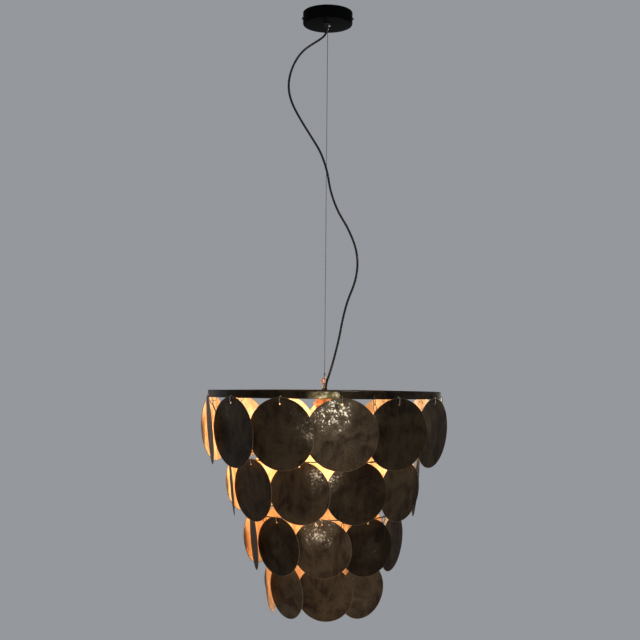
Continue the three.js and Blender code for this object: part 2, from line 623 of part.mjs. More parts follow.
function shankNut() {
  const bottom = crossbarTop() + SEAT_GAP;
  const corner = NUT_ACROSS_FLATS / 2 / Math.cos(Math.PI / 6);
  const nut = toSolid(cylinder(corner, bottom, bottom + NUT_HEIGHT, 6));
  const boreTop = bottom + NUT_HEIGHT + CUT_MARGIN;
  const bore = cylinder(EYE_SHANK_DIAMETER / 2 + SEAT_GAP, bottom - CUT_MARGIN, boreTop, HOLE_SIDES);
  return toGeometry(nut.subtract(toSolid(bore)));
}

// Lampholder: a cup with a roof that takes the shank and the flex, and a collar
function lampholder() {
  const top = holderTop();
  const bottom = top - HOLDER_LENGTH;
  const radius = HOLDER_DIAMETER / 2;
  const bore = BULB_CAP_DIAMETER / 2 + SEAT_GAP;
  const collarTop = top - HOLDER_COLLAR_DROP;
  const collarBottom = collarTop - HOLDER_COLLAR_HEIGHT;
  const profile = [
    [0, top - HOLDER_ROOF], [bore, top - HOLDER_ROOF], [bore, bottom], [radius - HOLDER_LIP_WIDTH, bottom],
    [radius, bottom + HOLDER_LIP_HEIGHT], [radius, collarBottom], [HOLDER_COLLAR_DIAMETER / 2, collarBottom],
    [HOLDER_COLLAR_DIAMETER / 2, collarTop], [radius, collarTop], [radius, top - HOLDER_SHOULDER],
    [radius - HOLDER_SHOULDER, top], [0, top],
  ];
  const holder = toSolid(lathe(profile, HOLDER_SEGMENTS));
  const high = top + CUT_MARGIN;
  const low = top - HOLDER_ROOF - CUT_MARGIN;
  const shankBore = cylinder(EYE_SHANK_DIAMETER / 2 + SEAT_GAP, low, high, HOLE_SIDES);
  const socketFloor = top - HOLDER_CABLE_SOCKET_DEPTH;
  const cableBore = cylinder(FLEX_DIAMETER / 2 + SEAT_GAP, socketFloor, high, HOLE_SIDES, ...cablePlace());
  return toGeometry(holder.subtract(toSolid(shankBore)).subtract(toSolid(cableBore)));
}

function bulbCap() {
  const top = holderTop() - HOLDER_ROOF - SEAT_GAP;
  const radius = BULB_CAP_DIAMETER / 2;
  const tip = BULB_CAP_TIP_DIAMETER / 2;
  const bottom = top - BULB_CAP_LENGTH;
  const slopeTop = top - BULB_CAP_TIP_HEIGHT;
  const profile = [
    [0, bottom], [radius, bottom], [radius, slopeTop - BULB_CAP_SLOPE_HEIGHT],
    [radius - BULB_CAP_SLOPE_WIDTH, slopeTop], [tip, slopeTop], [tip, top], [0, top],
  ];
  return lathe(profile, BULB_CAP_SEGMENTS);
}

function bulbGlass() {
  const top = holderTop() - HOLDER_ROOF - 2 * SEAT_GAP - BULB_CAP_LENGTH;
  const neck = BULB_NECK_DIAMETER / 2;
  const wide = BULB_DIAMETER / 2;
  const neckEnd = holderTop() - HOLDER_LENGTH - BULB_NECK_BELOW_HOLDER;
  const globe = top - BULB_GLASS_LENGTH + wide;
  const shoulder = new THREE.CubicBezierCurve(
    new THREE.Vector2(neck, neckEnd), new THREE.Vector2(neck, neckEnd - BULB_NECK_PULL),
    new THREE.Vector2(wide, globe + BULB_GLOBE_PULL), new THREE.Vector2(wide, globe),
  ).getPoints(BULB_SHOULDER_STEPS).map((point) => [point.x, point.y]);
  const crown = Array.from({ length: BULB_CROWN_STEPS - 1 }, (_, i) => {
    const turn = ((i + 1) * Math.PI) / 2 / BULB_CROWN_STEPS;
    return [Math.cos(turn) * wide, globe - Math.sin(turn) * wide];
  });
  const profile = [[0, top], [neck, top], ...shoulder, ...crown, [0, globe - wide]];
  return lathe(profile.reverse(), BULB_SEGMENTS);
}

function powerFlex() {
  const [gripX, gripY] = CORD_GRIP_PLACE;
  const start = cordGripParts().tip + CORD_GRIP_SOCKET_DEPTH - SEAT_GAP;
  const [holeX, holeY] = cablePlace();
  const end = holderTop() - HOLDER_CABLE_SOCKET_DEPTH + SEAT_GAP;
  const route = [
    [gripX, gripY, start], [gripX, gripY, start - FLEX_LEAD / 2], [gripX, gripY, start - FLEX_LEAD],
    ...FLEX_ROUTE,
    [holeX, holeY, end + FLEX_LEAD], [holeX, holeY, end + FLEX_LEAD / 2], [holeX, holeY, end],
  ];
  const path = new THREE.CatmullRomCurve3(route.map((point) => new THREE.Vector3(...point)));
  const section = new THREE.Shape();
  for (let i = 0; i < FLEX_SIDES; i += 1) {
    const turn = (i / FLEX_SIDES) * Math.PI * 2;
    const place = [Math.cos(turn) * (FLEX_DIAMETER / 2), Math.sin(turn) * (FLEX_DIAMETER / 2)];
    if (i === 0) section.moveTo(...place);
    else section.lineTo(...place);
  }
  section.closePath();
  return new THREE.ExtrudeGeometry(section, { steps: FLEX_STEPS, extrudePath: path });
}

// Finishes
const BLACK_LACQUER = material(0x111211, 0.55, 0.1);
const BLACK_PVC = material(0x0e0e0f, 0.6, 0);
const BRONZE = material(0x2f271c, 0.45, 0.85);
const STEEL = material(0x9a9a98, 0.35, 1);
const BRASS = material(0xc9953a, 0.35, 1);
const COPPER = material(0xb4652f, 0.4, 1);
const ZINC = material(0x8d8f90, 0.5, 0.9);
const PALE_PLASTIC = material(0xe6e2d8, 0.6, 0);
const LIT_GLASS = material(0xfff0cf, 0.15, 0);

addPart('ceiling_bracket', ceilingBracket(), ZINC);
addPart('ceiling_canopy', canopy(), BLACK_LACQUER);
addPart('canopy_screw_right', setScrew(), STEEL.clone());
addPart('canopy_screw_left', setScrew(), STEEL.clone()).rotation.z = Math.PI;
addPart('terminal_block', terminalBlock(), PALE_PLASTIC);
const gripper = lathe(gripperParts().profile.reverse(), SMALL_ROUND_SIDES);
addPart('wire_gripper', gripper, STEEL.clone());
const cordGrip = lathe(cordGripParts().profile.reverse(), SMALL_ROUND_SIDES);
const grip = addPart('cord_grip', cordGrip, BLACK_PVC.clone());
grip.position.set(...CORD_GRIP_PLACE, 0);
addPart('suspension_wire', suspensionWire(), STEEL.clone());
addPart('power_flex', powerFlex(), BLACK_PVC.clone());
addPart('top_eye', topEye(), COPPER.clone());
addPart('shank_nut', shankNut(), BRASS.clone());
addPart('top_frame', topFrame(), BRONZE.clone());
addPart('lampholder', lampholder(), COPPER.clone());
addPart('bulb_cap', bulbCap(), STEEL.clone());
addPart('bulb_glass', bulbGlass(), LIT_GLASS);
for (let i = 1; i < TIERS.length; i += 1) {
  addPart(`${TIERS[i].name}_ring`, hungRing(TIERS[i - 1], TIERS[i], CHAIN_AZIMUTHS[i - 1]), BRONZE.clone());
}
for (const tier of TIERS) addDiscs(tier, BRONZE);

export default PARTS;
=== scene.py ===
"""Looks of the pendant lamp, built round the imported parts. Metres, +Z up, the viewer's side is -Y."""

import json
import math
import random

import bpy
from mathutils import Matrix, Vector, noise


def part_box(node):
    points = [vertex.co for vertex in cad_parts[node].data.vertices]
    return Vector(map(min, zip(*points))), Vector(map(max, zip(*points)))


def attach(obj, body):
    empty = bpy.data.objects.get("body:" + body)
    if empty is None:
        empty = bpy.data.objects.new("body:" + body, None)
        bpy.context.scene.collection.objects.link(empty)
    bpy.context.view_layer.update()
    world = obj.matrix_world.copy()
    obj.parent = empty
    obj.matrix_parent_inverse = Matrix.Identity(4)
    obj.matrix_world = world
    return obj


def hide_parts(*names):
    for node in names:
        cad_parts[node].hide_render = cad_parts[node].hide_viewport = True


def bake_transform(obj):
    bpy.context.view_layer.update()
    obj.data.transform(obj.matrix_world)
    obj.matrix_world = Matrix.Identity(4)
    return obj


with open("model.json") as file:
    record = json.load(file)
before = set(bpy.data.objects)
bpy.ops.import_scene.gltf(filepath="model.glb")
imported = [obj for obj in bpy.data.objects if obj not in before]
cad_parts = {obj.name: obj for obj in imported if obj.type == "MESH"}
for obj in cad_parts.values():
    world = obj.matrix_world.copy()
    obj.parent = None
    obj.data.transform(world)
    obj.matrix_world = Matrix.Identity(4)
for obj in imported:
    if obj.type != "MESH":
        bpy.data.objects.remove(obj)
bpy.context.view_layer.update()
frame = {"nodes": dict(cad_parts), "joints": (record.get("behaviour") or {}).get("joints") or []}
JOINTS = {joint["name"]: joint for joint in frame["joints"]}
MM = 0.001

# Camera: where the photographer stood, and the photograph's own angle of view
PHOTO_SIDE_PX = 640
PHOTO_FOCAL_PX = 1078
SENSOR_MM = 36
EYE = Vector((-0.0145, -2.566, -0.905))
PITCH = math.radians(3.53)
ROLL = math.radians(0.53)
YAW = math.radians(-0.053)


def make_camera():
    data = bpy.data.cameras.new("camera")
    data.sensor_width = SENSOR_MM
    data.lens = SENSOR_MM * PHOTO_FOCAL_PX / PHOTO_SIDE_PX
    camera = bpy.data.objects.new("camera", data)
    bpy.context.scene.collection.objects.link(camera)
    turn = Matrix.Rotation(YAW, 4, "Z") @ Matrix.Rotation(math.pi / 2 + PITCH, 4, "X")
    camera.matrix_world = Matrix.Translation(EYE) @ turn @ Matrix.Rotation(ROLL, 4, "Z")
    bpy.context.scene.camera = camera


make_camera()


# Mesh helpers
CRISP = 35  # degrees between two faces from which their edge is sharp
SOFT = 50
TINY = 1e-6
TURN = 2 * math.pi
QUARTER = TURN / 4


def new_mesh(name, points, faces):
    mesh = bpy.data.meshes.new(name)
    mesh.from_pydata([tuple(p) for p in points], [], faces)
    mesh.validate()
    mesh.update()
    return mesh


def new_object(name, mesh):
    """A new object that carries the mesh."""
    piece = bpy.data.objects.new(name, mesh)
    bpy.context.scene.collection.objects.link(piece)
    return piece


def smooth(mesh, sharp_deg=40):
    """Smooth shading, apart from the edges that turn by more than sharp_deg."""
    mesh.polygons.foreach_set("use_smooth", [True] * len(mesh.polygons))
    mesh.set_sharp_from_angle(angle=math.radians(sharp_deg))
    return mesh


def round_outline(radius, sides):
    return [(radius * math.cos(TURN * i / sides), radius * math.sin(TURN * i / sides))
            for i in range(sides)]


def lathe_mesh(name, profile, segments):
    """Turns (radius, height) points about Z. A point at radius 0 becomes one vertex."""
    points = []
    rows = []
    for radius, height in profile:
        if radius == 0:
            rows.append([len(points)] * segments)
            points.append((0, 0, height))
            continue
        rows.append([len(points) + i for i in range(segments)])
        points += [(x, y, height) for x, y in round_outline(radius, segments)]
    if profile[0] == profile[-1] and profile[0][0] > 0:
        rows[-1] = rows[0]
    faces = []
    for upper, lower in zip(rows, rows[1:]):
        for i in range(segments):
            j = (i + 1) % segments
            ring = [upper[i], upper[j], lower[j], lower[i]]
            faces.append(list(dict.fromkeys(ring)))
    return new_mesh(name, points, [face for face in faces if len(face) > 2])


def arc(centre, radius, start_deg, end_deg, steps):
    """Points of a circle's arc, both ends included."""
    turns = [math.radians(start_deg + (end_deg - start_deg) * i / steps) for i in range(steps + 1)]
    return [(centre[0] + radius * math.cos(t), centre[1] + radius * math.sin(t)) for t in turns]


def skinned(name, points, sides, closed=False):
    """A skin over rows of points, with two end faces or closed into a ring."""
    count = len(points) // sides
    faces = []
    for i in range(count if closed else count - 1):
        row, following = i * sides, (i + 1) % count * sides
        for j in range(sides):
            k = (j + 1) % sides
            faces.append((row + j, row + k, following + k, following + j))
    if not closed:
        faces.append(tuple(reversed(range(sides))))
        faces.append(tuple(range((count - 1) * sides, count * sides)))
    return new_mesh(name, points, faces)


def sweep_mesh(name, path, outline, closed=False, turn_per_step=0.0):
    """Carries an outline of (side, up) offsets along a path without twisting it."""
    count = len(path)
    points = []
    normal = None
    for i, here in enumerate(path):
        before = path[i - 1] if closed or i else path[0]
        after = path[(i + 1) % count] if closed or i < count - 1 else path[-1]
        along = (after - before).normalized()
        if normal is None:
            normal = along.orthogonal().normalized()
        normal = (normal - along * normal.dot(along)).normalized()
        side = along.cross(normal)
        spin = turn_per_step * i
        for u, v in outline:
            a = u * math.cos(spin) - v * math.sin(spin)
            b = u * math.sin(spin) + v * math.cos(spin)
            points.append(here + side * a + normal * b)
    return skinned(name, points, len(outline), closed)


def with_modifier(mesh, kind, **settings):
    """The mesh as one modifier leaves it."""
    holder = new_object("holder", mesh)
    modifier = holder.modifiers.new(kind, kind)
    for key, value in settings.items():
        setattr(modifier, key, value)
    graph = bpy.context.evaluated_depsgraph_get()
    result = bpy.data.meshes.new_from_object(holder.evaluated_get(graph))
    bpy.data.objects.remove(holder)
    return result


def cut_with(mesh, cutters):
    """The mesh with the cutters' room taken out of it."""
    for cutter in cutters:
        tool = new_object("cutter", cutter)
        mesh = with_modifier(mesh, "BOOLEAN", object=tool, operation="DIFFERENCE", solver="EXACT")
        bpy.data.objects.remove(tool)
    return mesh


def joined(name, meshes):
    """One mesh of several, each left as it is."""
    points = []
    faces = []
    for mesh in meshes:
        start = len(points)
        points.extend(vertex.co.copy() for vertex in mesh.vertices)
        faces.extend([start + i for i in face.vertices] for face in mesh.polygons)
    return new_mesh(name, points, faces)


def check_outward(mesh):
    """Turns a closed mesh the right way round, by the sign of its volume."""
    volume = 0.0
    for face in mesh.polygons:
        corners = [mesh.vertices[i].co for i in face.vertices]
        for b, c in zip(corners[1:], corners[2:]):
            volume += corners[0].dot(b.cross(c))
    if volume < 0:
        mesh.flip_normals()
    return mesh


def turned(angle, axis):
    return Matrix.Rotation(angle, 4, axis)


def moved(*place):
    return Matrix.Translation(place)


def turned_solid(name, profile, segments):
    """A closed lathe_mesh, the right way round."""
    return check_outward(lathe_mesh(name, profile, segments))


def rod_mesh(place, diameter, half_length, sides=24):
    """A round rod, made upright about the origin and then put in its place."""
    r = diameter / 2
    profile = [(0, -half_length), (r, -half_length), (r, half_length), (0, half_length)]
    rod = turned_solid("rod", profile, sides)
    rod.transform(place)
    return rod


def box_mesh(low, high):
    """A plain box between two corners, for cutting."""
    across, deep, tall = zip(low, high)
    corners = [(x, y, z) for x in across for y in deep for z in tall]
    sides = [(0, 1, 3, 2), (4, 6, 7, 5), (0, 4, 5, 1), (2, 3, 7, 6), (0, 2, 6, 4), (1, 5, 7, 3)]
    return check_outward(new_mesh("box", corners, sides))


def add_piece(name, mesh, body, looks, stands_for=()):
    """A piece with its materials and body, hiding the nodes that it replaces."""
    piece = new_object(name, mesh)
    for look in looks:
        piece.data.materials.append(look)
    if body:
        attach(piece, body)
    if stands_for:
        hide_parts(*stands_for)
    return piece


# Materials, with the mix node's sockets for colours
MIX_SHARE = 0
MIX_FIRST = 6
MIX_SECOND = 7
MIX_RESULT = 2


class Nodes:
    """Makes the shader nodes of a tree and joins them."""

    def __init__(self, tree):
        self.tree = tree

    def node(self, kind, **inputs):
        made = self.tree.nodes.new(kind)
        for key, value in inputs.items():
            self.feed(made.inputs[key.replace("_", " ")], value)
        return made

    def feed(self, socket, value):
        if isinstance(value, bpy.types.NodeSocket):
            self.tree.links.new(value, socket)
        else:
            socket.default_value = value

    def ramp(self, source, low, high, low_value=0.0, high_value=1.0):
        made = self.node("ShaderNodeMapRange", Value=source, From_Min=low, From_Max=high,
                         To_Min=low_value, To_Max=high_value)
        return made.outputs["Result"]

    def mix(self, share, first, second):
        made = self.node("ShaderNodeMix")
        made.data_type = "RGBA"
        self.feed(made.inputs[MIX_SHARE], share)
        for socket, colour in ((MIX_FIRST, first), (MIX_SECOND, second)):
            self.feed(made.inputs[socket], (*colour, 1) if isinstance(colour, tuple) else colour)
        return made.outputs[MIX_RESULT]


class Look(Nodes):
    """A Principled material and the procedural textures that feed it."""

    def __init__(self, name, colour, metallic, roughness):
        self.material = bpy.data.materials.new(name)
        self.material.use_nodes = True
        super().__init__(self.material.node_tree)
        self.shader = self.tree.nodes["Principled BSDF"]
        self.set(Base_Color=(*colour, 1), Metallic=metallic, Roughness=roughness)
        self.place = self.node("ShaderNodeTexCoord").outputs["Object"]

    def stretched(self, scale):
        return self.node("ShaderNodeMapping", Vector=self.place, Scale=scale).outputs["Vector"]

    def attribute(self, name):
        made = self.node("ShaderNodeAttribute")
        made.attribute_name = name
        return made.outputs["Fac"]

    def noise(self, scale, detail=4, rough=0.55, distortion=0, place=None):
        made = self.node("ShaderNodeTexNoise", Vector=place or self.place, Scale=scale, Detail=detail,
                         Roughness=rough, Distortion=distortion)
        return made.outputs["Fac"]

    def cells(self, scale):
        """How far a point is from the edge of its cell."""
        made = self.node("ShaderNodeTexVoronoi", Vector=self.place, Scale=scale)
        made.feature = "DISTANCE_TO_EDGE"
        return made.outputs["Distance"]

    def calculated(self, operation, a, b):
        made = self.node("ShaderNodeMath")
        made.operation = operation
        self.feed(made.inputs[0], a)
        self.feed(made.inputs[1], b)
        return made.outputs[0]

    def times(self, a, b):
        return self.calculated("MULTIPLY", a, b)

    def plus(self, a, b):
        return self.calculated("ADD", a, b)

    def bump(self, height, distance, strength, under=None):
        made = self.node("ShaderNodeBump", Height=height, Distance=distance, Strength=strength)
        if under:
            self.feed(made.inputs["Normal"], under)
        return made.outputs["Normal"]

    def set(self, **sockets):
        for key, value in sockets.items():
            self.feed(self.shader.inputs[key.replace("_", " ")], value)
        return self.material


WEAR_AND_SHEEN = "wear_and_sheen"
TONE = "tone"
PLAIN_BRONZE = (0.03, 0.024, 0.018)
PATINA_SHEEN = (0.34, 0.30, 0.25)
BARE_BRONZE = (0.69, 0.61, 0.45)
PIT_BROWN = (0.010, 0.008, 0.006)


def bronze_patina(name, rubbed_sheen, rubbed_sheen_share):
    """Dark patina with lighter clouds and streaks, a fine crackle, and pale flecks where it is worn, with
    a paler rubbed colour over the worn spots that is partly a painted highlight.
    """
    look = Look(name, PLAIN_BRONZE, 0.7, 0.5)
    wear_and_sheen = look.attribute(WEAR_AND_SHEEN)
    tone = look.attribute(TONE)
    clouds = look.noise(16, detail=6, rough=0.68, distortion=0.9)
    upright = look.stretched((1.0, 1.0, 0.2))
    streaks = look.noise(75, detail=5, rough=0.66, distortion=0.4, place=upright)
    flecks = look.noise(230, detail=5, rough=0.66, distortion=0.5)
    patches = look.noise(58, detail=3, rough=0.6, distortion=0.6)
    crackle = look.cells(170)
    # tone: darker or paler, warmer browns; on the lowest tier's side discs it is painted warm bounce
    # light
    dark = look.mix(tone, (0.007, 0.004, 0.003), (0.034, 0.020, 0.012))
    light = look.mix(tone, (0.026, 0.019, 0.010), (0.100, 0.073, 0.043))
    streak = look.mix(tone, (0.038, 0.027, 0.014), (0.120, 0.087, 0.050))
    brown = look.mix(look.ramp(clouds, 0.40, 0.62), dark, light)
    ground = look.mix(look.ramp(streaks, 0.44, 0.68, 0.0, 0.5), brown, streak)
    patchy = look.times(wear_and_sheen, look.ramp(patches, 0.36, 0.62, 0.25, 1.0))
    bare = look.ramp(look.plus(flecks, look.times(patchy, 0.31)), 0.70, 0.80)
    # haze: the paler rubbed colour over the worn spots, partly rubbed metal and partly a painted
    # highlight
    haze = look.mix(look.times(patchy, rubbed_sheen_share), ground, rubbed_sheen)
    coat = look.mix(bare, haze, BARE_BRONZE)
    pits = look.ramp(crackle, 0.0, 0.06, 0.45, 1.0)
    height = look.plus(look.times(flecks, 0.7), look.times(look.ramp(crackle, 0.0, 0.1), 0.5))
    hammered = look.bump(look.noise(70, detail=2, rough=0.5), 1.2 * MM, strength=0.7)
    return look.set(
        Base_Color=look.mix(pits, PIT_BROWN, coat),
        Specular_Tint=(*PATINA_SHEEN, 1),
        Metallic=look.ramp(bare, 0.0, 1.0, 0.7, 1.0),
        Roughness=look.plus(look.ramp(bare, 0.0, 1.0, 0.5, 0.4), look.times(patchy, -0.06)),
        Normal=look.bump(height, 0.5 * MM, strength=0.7, under=hammered),
    )


def gold_leaf(name):
    """Warm gold leaf laid in crumpled sheets, with streaks where it wears through."""
    look = Look(name, (0.90, 0.64, 0.36), 0.8, 0.4)
    upright = look.stretched((1.0, 1.0, 0.35))
    streaks = look.noise(26, detail=7, rough=0.68, distortion=1.4, place=upright)
    crumple = look.cells(48)
    leaf = look.mix(look.ramp(streaks, 0.36, 0.66), (0.66, 0.38, 0.17), (1.0, 0.80, 0.52))
    seams = look.ramp(crumple, 0.0, 0.03, 0.5, 1.0)
    marked = look.mix(seams, (0.46, 0.24, 0.10), leaf)
    return look.set(
        Base_Color=marked,
        Roughness=look.ramp(streaks, 0.3, 0.7, 0.3, 0.52),
        Normal=look.bump(look.plus(streaks, look.ramp(crumple, 0, 0.1)), 0.6 * MM, strength=0.5),
    )


METAL_GRAIN = 160
METAL_SPREAD = 0.12  # of the roughness, either way
METAL_TARNISH = 0.55  # of the colour, where it is dullest


def plain_metal(name, colour, roughness, metallic=1.0):
    """A satin metal with fine grain and a little tarnish."""
    look = Look(name, colour, metallic, roughness)
    tarnish = look.noise(35, detail=5, rough=0.6)
    fine = look.noise(METAL_GRAIN * 6, detail=3, rough=0.6)
    dull = tuple(c * METAL_TARNISH for c in colour)
    low, high = roughness - METAL_SPREAD, roughness + METAL_SPREAD
    return look.set(
        Base_Color=look.mix(look.ramp(tarnish, 0.45, 0.75, 0, 0.6), colour, dull),
        Roughness=look.ramp(look.noise(METAL_GRAIN), 0.3, 0.7, low, high),
        Normal=look.bump(fine, 0.1 * MM, strength=0.35),
    )


COAT_SPREAD = 0.08  # of the roughness, either way
COAT_BLOOM = 1.9  # times the colour, where it is palest


def matte_coat(name, colour, roughness, grain, gloss=0.3):
    """A matt lacquer or moulded plastic with a fine grain and a faint bloom."""
    look = Look(name, colour, 0.0, roughness)
    fine = look.noise(grain, rough=0.6)
    pale = tuple(c * COAT_BLOOM for c in colour)
    low, high = roughness - COAT_SPREAD, roughness + COAT_SPREAD
    return look.set(
        Base_Color=look.mix(look.ramp(look.noise(40), 0.45, 0.8, 0, 0.7), colour, pale),
        Specular_IOR_Level=gloss,
        Roughness=look.ramp(fine, 0.3, 0.7, low, high),
        Normal=look.bump(fine, 0.1 * MM, strength=0.4),
    )


BULB_GLOW = 14.0


def lit_opal(name):
    """Unevenly frosted glass, lit from within."""
    look = Look(name, (1.0, 0.93, 0.82), 0.0, 0.25)
    haze = look.noise(60, detail=3)
    glow = look.mix(look.ramp(haze, 0.3, 0.7, 0.0, 0.4), (1.0, 0.80, 0.52), (1.0, 0.72, 0.40))
    rough = look.ramp(haze, 0.3, 0.7, 0.2, 0.32)
    return look.set(Emission_Color=glow, Emission_Strength=BULB_GLOW, Roughness=rough)


BRONZE = bronze_patina("bronze_patina", (0.22, 0.18, 0.12), 0.55)
# The lap's bronze, with a pale brass rubbed colour that is a painted sheen
LAP_BRONZE_SHEEN = bronze_patina("lap_bronze_sheen", (0.52, 0.42, 0.19), 0.9)
EDGE = plain_metal("bare_edge", (0.15, 0.115, 0.07), 0.45)
GOLD = gold_leaf("gold_leaf")
WIRE_BRONZE = plain_metal("wire_bronze", (0.075, 0.06, 0.042), 0.42)
LINK_BRONZE = plain_metal("link_bronze", (0.32, 0.29, 0.235), 0.4)
STEEL = plain_metal("steel", (0.50, 0.50, 0.49), 0.34)
ROPE_STEEL = plain_metal("rope_steel", (0.20, 0.20, 0.205), 0.45)
BLACK_STEEL = plain_metal("black_steel", (0.035, 0.035, 0.037), 0.45)
ZINC = plain_metal("zinc", (0.42, 0.43, 0.43), 0.5)
# Bright orange copper for the eye and lampholder: copper partly, and partly the bulb's warm light painted
# into the colour
BULB_LIT_COPPER = plain_metal("copper", (1.0, 0.46, 0.20), 0.45, metallic=0.45)
# Pale brass for the nut and the bulb's cap, brightened as painted light from the bulb leaking round the
# nut
BULB_LIT_BRASS = plain_metal("brass", (0.95, 0.68, 0.26), 0.36, metallic=0.6)
LACQUER = matte_coat("black_lacquer", (0.0016, 0.0018, 0.0018), 0.74, 700, gloss=0.01)
PLASTIC = matte_coat("black_plastic", (0.012, 0.012, 0.012), 0.5, 500)
PVC = matte_coat("flex_sheath", (0.010, 0.010, 0.011), 0.46, 400)
PALE_PLASTIC = matte_coat("pale_plastic", (0.42, 0.40, 0.36), 0.5, 500)
OPAL = lit_opal("lit_opal")

# Flex: the same route as the solid that it dresses, with its tightest bends eased by 2 mm
FLEX_DIAMETER = 5.5 * MM
FLEX_SIDES = 16
FLEX_STEP = 5 * MM
FLEX_EASE_STEP = 1 * MM
FLEX_EASE_REACH = 9  # steps on each side that a point is averaged over
FLEX_EASE_PASSES = 2
FLEX_SPAN_STEPS = 12
FLEX_ROUTE_MM = [
    (-2, -14, -33.8), (-2, -14, -44.3), (-2, -14, -54.8),
    (-6, -14, -60), (-19, -14, -71), (-37, -14, -82), (-55, -14, -95), (-69, -14, -111),
    (-80, -14, -130), (-87.5, -14, -150), (-92.5, -14, -175), (-91, -14, -203), (-81.5, -14, -232),
    (-62, -14, -268), (-39, -14, -305), (-15, -14, -345), (1, -14, -390), (11, -14, -440),
    (28, -14, -486), (52, -14, -528), (71, -14, -575), (76, -14, -615), (70, -14, -656),
    (53, -14, -702), (42, -14, -745), (33, -14, -792), (21, -14, -842), (10, -13.8, -880),
    (3.387, -13.584, -898.5), (3.387, -13.584, -909), (3.387, -13.584, -919.5),
]


def in_even_steps(line, step):
    """The line again with its points about a step apart, and its length."""
    reach = [0.0]
    for a, b in zip(line, line[1:]):
        reach.append(reach[-1] + (b - a).length)
    count = round(reach[-1] / step)
    even = []
    k = 0
    for i in range(count + 1):
        target = reach[-1] * i / count
        while k < len(line) - 2 and reach[k + 1] < target:
            k += 1
        share = (target - reach[k]) / (reach[k + 1] - reach[k])
        even.append(line[k].lerp(line[k + 1], share))
    return even, reach[-1]


def eased(line, reach):
    """The line with each point averaged with its neighbours, less and less towards the ends."""
    result = []
    for i in range(len(line)):
        near = min(reach, i, len(line) - 1 - i)
        result.append(sum(line[i - near:i + near + 1], Vector()) / (2 * near + 1))
    return result


def curve_through(points):
    """A centripetal curve through the points."""
    ends = [points[0] * 2 - points[1], *points, points[-1] * 2 - points[-2]]
    fine = []
    for p0, p1, p2, p3 in zip(ends, ends[1:], ends[2:], ends[3:]):
        d0, d1, d2 = ((b - a).length ** 0.5 for a, b in ((p0, p1), (p1, p2), (p2, p3)))
        t1 = ((p1 - p0) / d0 - (p2 - p0) / (d0 + d1) + (p2 - p1) / d1) * d1
        t2 = ((p2 - p1) / d1 - (p3 - p1) / (d1 + d2) + (p3 - p2) / d2) * d1
        for i in range(FLEX_SPAN_STEPS):
            t = i / FLEX_SPAN_STEPS
            a = (2 * t**3 - 3 * t**2 + 1) * p1 + (t**3 - 2 * t**2 + t) * t1
            fine.append(a + (-2 * t**3 + 3 * t**2) * p2 + (t**3 - t**2) * t2)
    fine.append(points[-1])
    return fine


def make_flex():
    curve = curve_through([Vector(point) * MM for point in FLEX_ROUTE_MM])
    route, _ = in_even_steps(curve, FLEX_EASE_STEP)
    for _ in range(FLEX_EASE_PASSES):
        route = eased(route, FLEX_EASE_REACH)
    route, length = in_even_steps(route, FLEX_STEP)
    outline = round_outline(FLEX_DIAMETER / 2, FLEX_SIDES)
    mesh = smooth(sweep_mesh("flex", route, outline))
    flex = add_piece("flex", mesh, None, [PVC], ["power_flex"])
    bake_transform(flex)


make_flex()

# Tiers of discs, top to bottom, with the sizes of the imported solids. A tier's first is its first disc's
# azimuth, inset is from the rim to the hole, and drop, rise and link_in are how far a link reaches
# below, above and inside its pivot.
DISC_THICKNESS = 1.2 * MM
DISC_DOME = 3 * MM
DISC_LEAN = math.radians(5.2)
DISC_HOLE = 4.2 * MM
DISC_RINGS = 15
DISC_SEGMENTS = 96
DISC_HOLE_SIDES = 20
DISC_BORE_REACH = 10 * MM
OUTSIDE = 0  # material slots of a disc
INSIDE = 1
RIM = 2
LINK_WIRE = 1.4 * MM
LINK_SIDES = 10
LINK_WELD = 0.1 * MM
RING_LINK = {"inset": 0.012, "drop": 0.008, "rise": 0.0038, "half_width": 0.0052, "link_in": 0.0034}
TIERS = [
    {"name": "upper", "discs": 13, "radius": 0.27375, "height": -0.9263, "disc": 0.158, "first": 7.6,
     "inset": 0.014, "drop": 0.015, "rise": 0.0, "half_width": 0.006, "link_in": 0.0048},
    {"name": "second", "discs": 11, "radius": 0.2185, "height": -1.069, "disc": 0.140, "first": -14,
     **RING_LINK},
    {"name": "third", "discs": 10, "radius": 0.1684, "height": -1.199, "disc": 0.132, "first": -1,
     **RING_LINK},
    {"name": "lowest", "discs": 8, "radius": 0.122, "height": -1.306, "disc": 0.128, "first": 1.7,
     **RING_LINK},
]
# Spots on some discs, at the front light's highlight, where the patina is worn and painted paler as a
# painted highlight, in parts of their radius: right, up, how widely, and how much
SHEEN_AND_WEAR_PLACES = {
    "upper": {1: (-0.22, 0.54, 0.60, 1.0), 2: (-0.95, 0.30, 0.40, 0.7), 13: (0.80, 0.20, 0.48, 0.8)},
    "second": {1: (0.76, 0.54, 0.50, 1.0), 2: (-0.86, 0.52, 0.42, 0.9)},
    "third": {1: (-0.12, 0.60, 0.58, 0.95)},
    "lowest": {1: (-0.05, 0.92, 0.45, 0.7)},
}
# The other discs: how widely and how much they are worn, and the limits of where and how light
WORN_ELSEWHERE = (0.38, 0.3)
WORN_RIGHT = (-0.6, 0.6)
WORN_UP = (-0.1, 0.7)
OTHER_TONES = (0.25, 0.85)
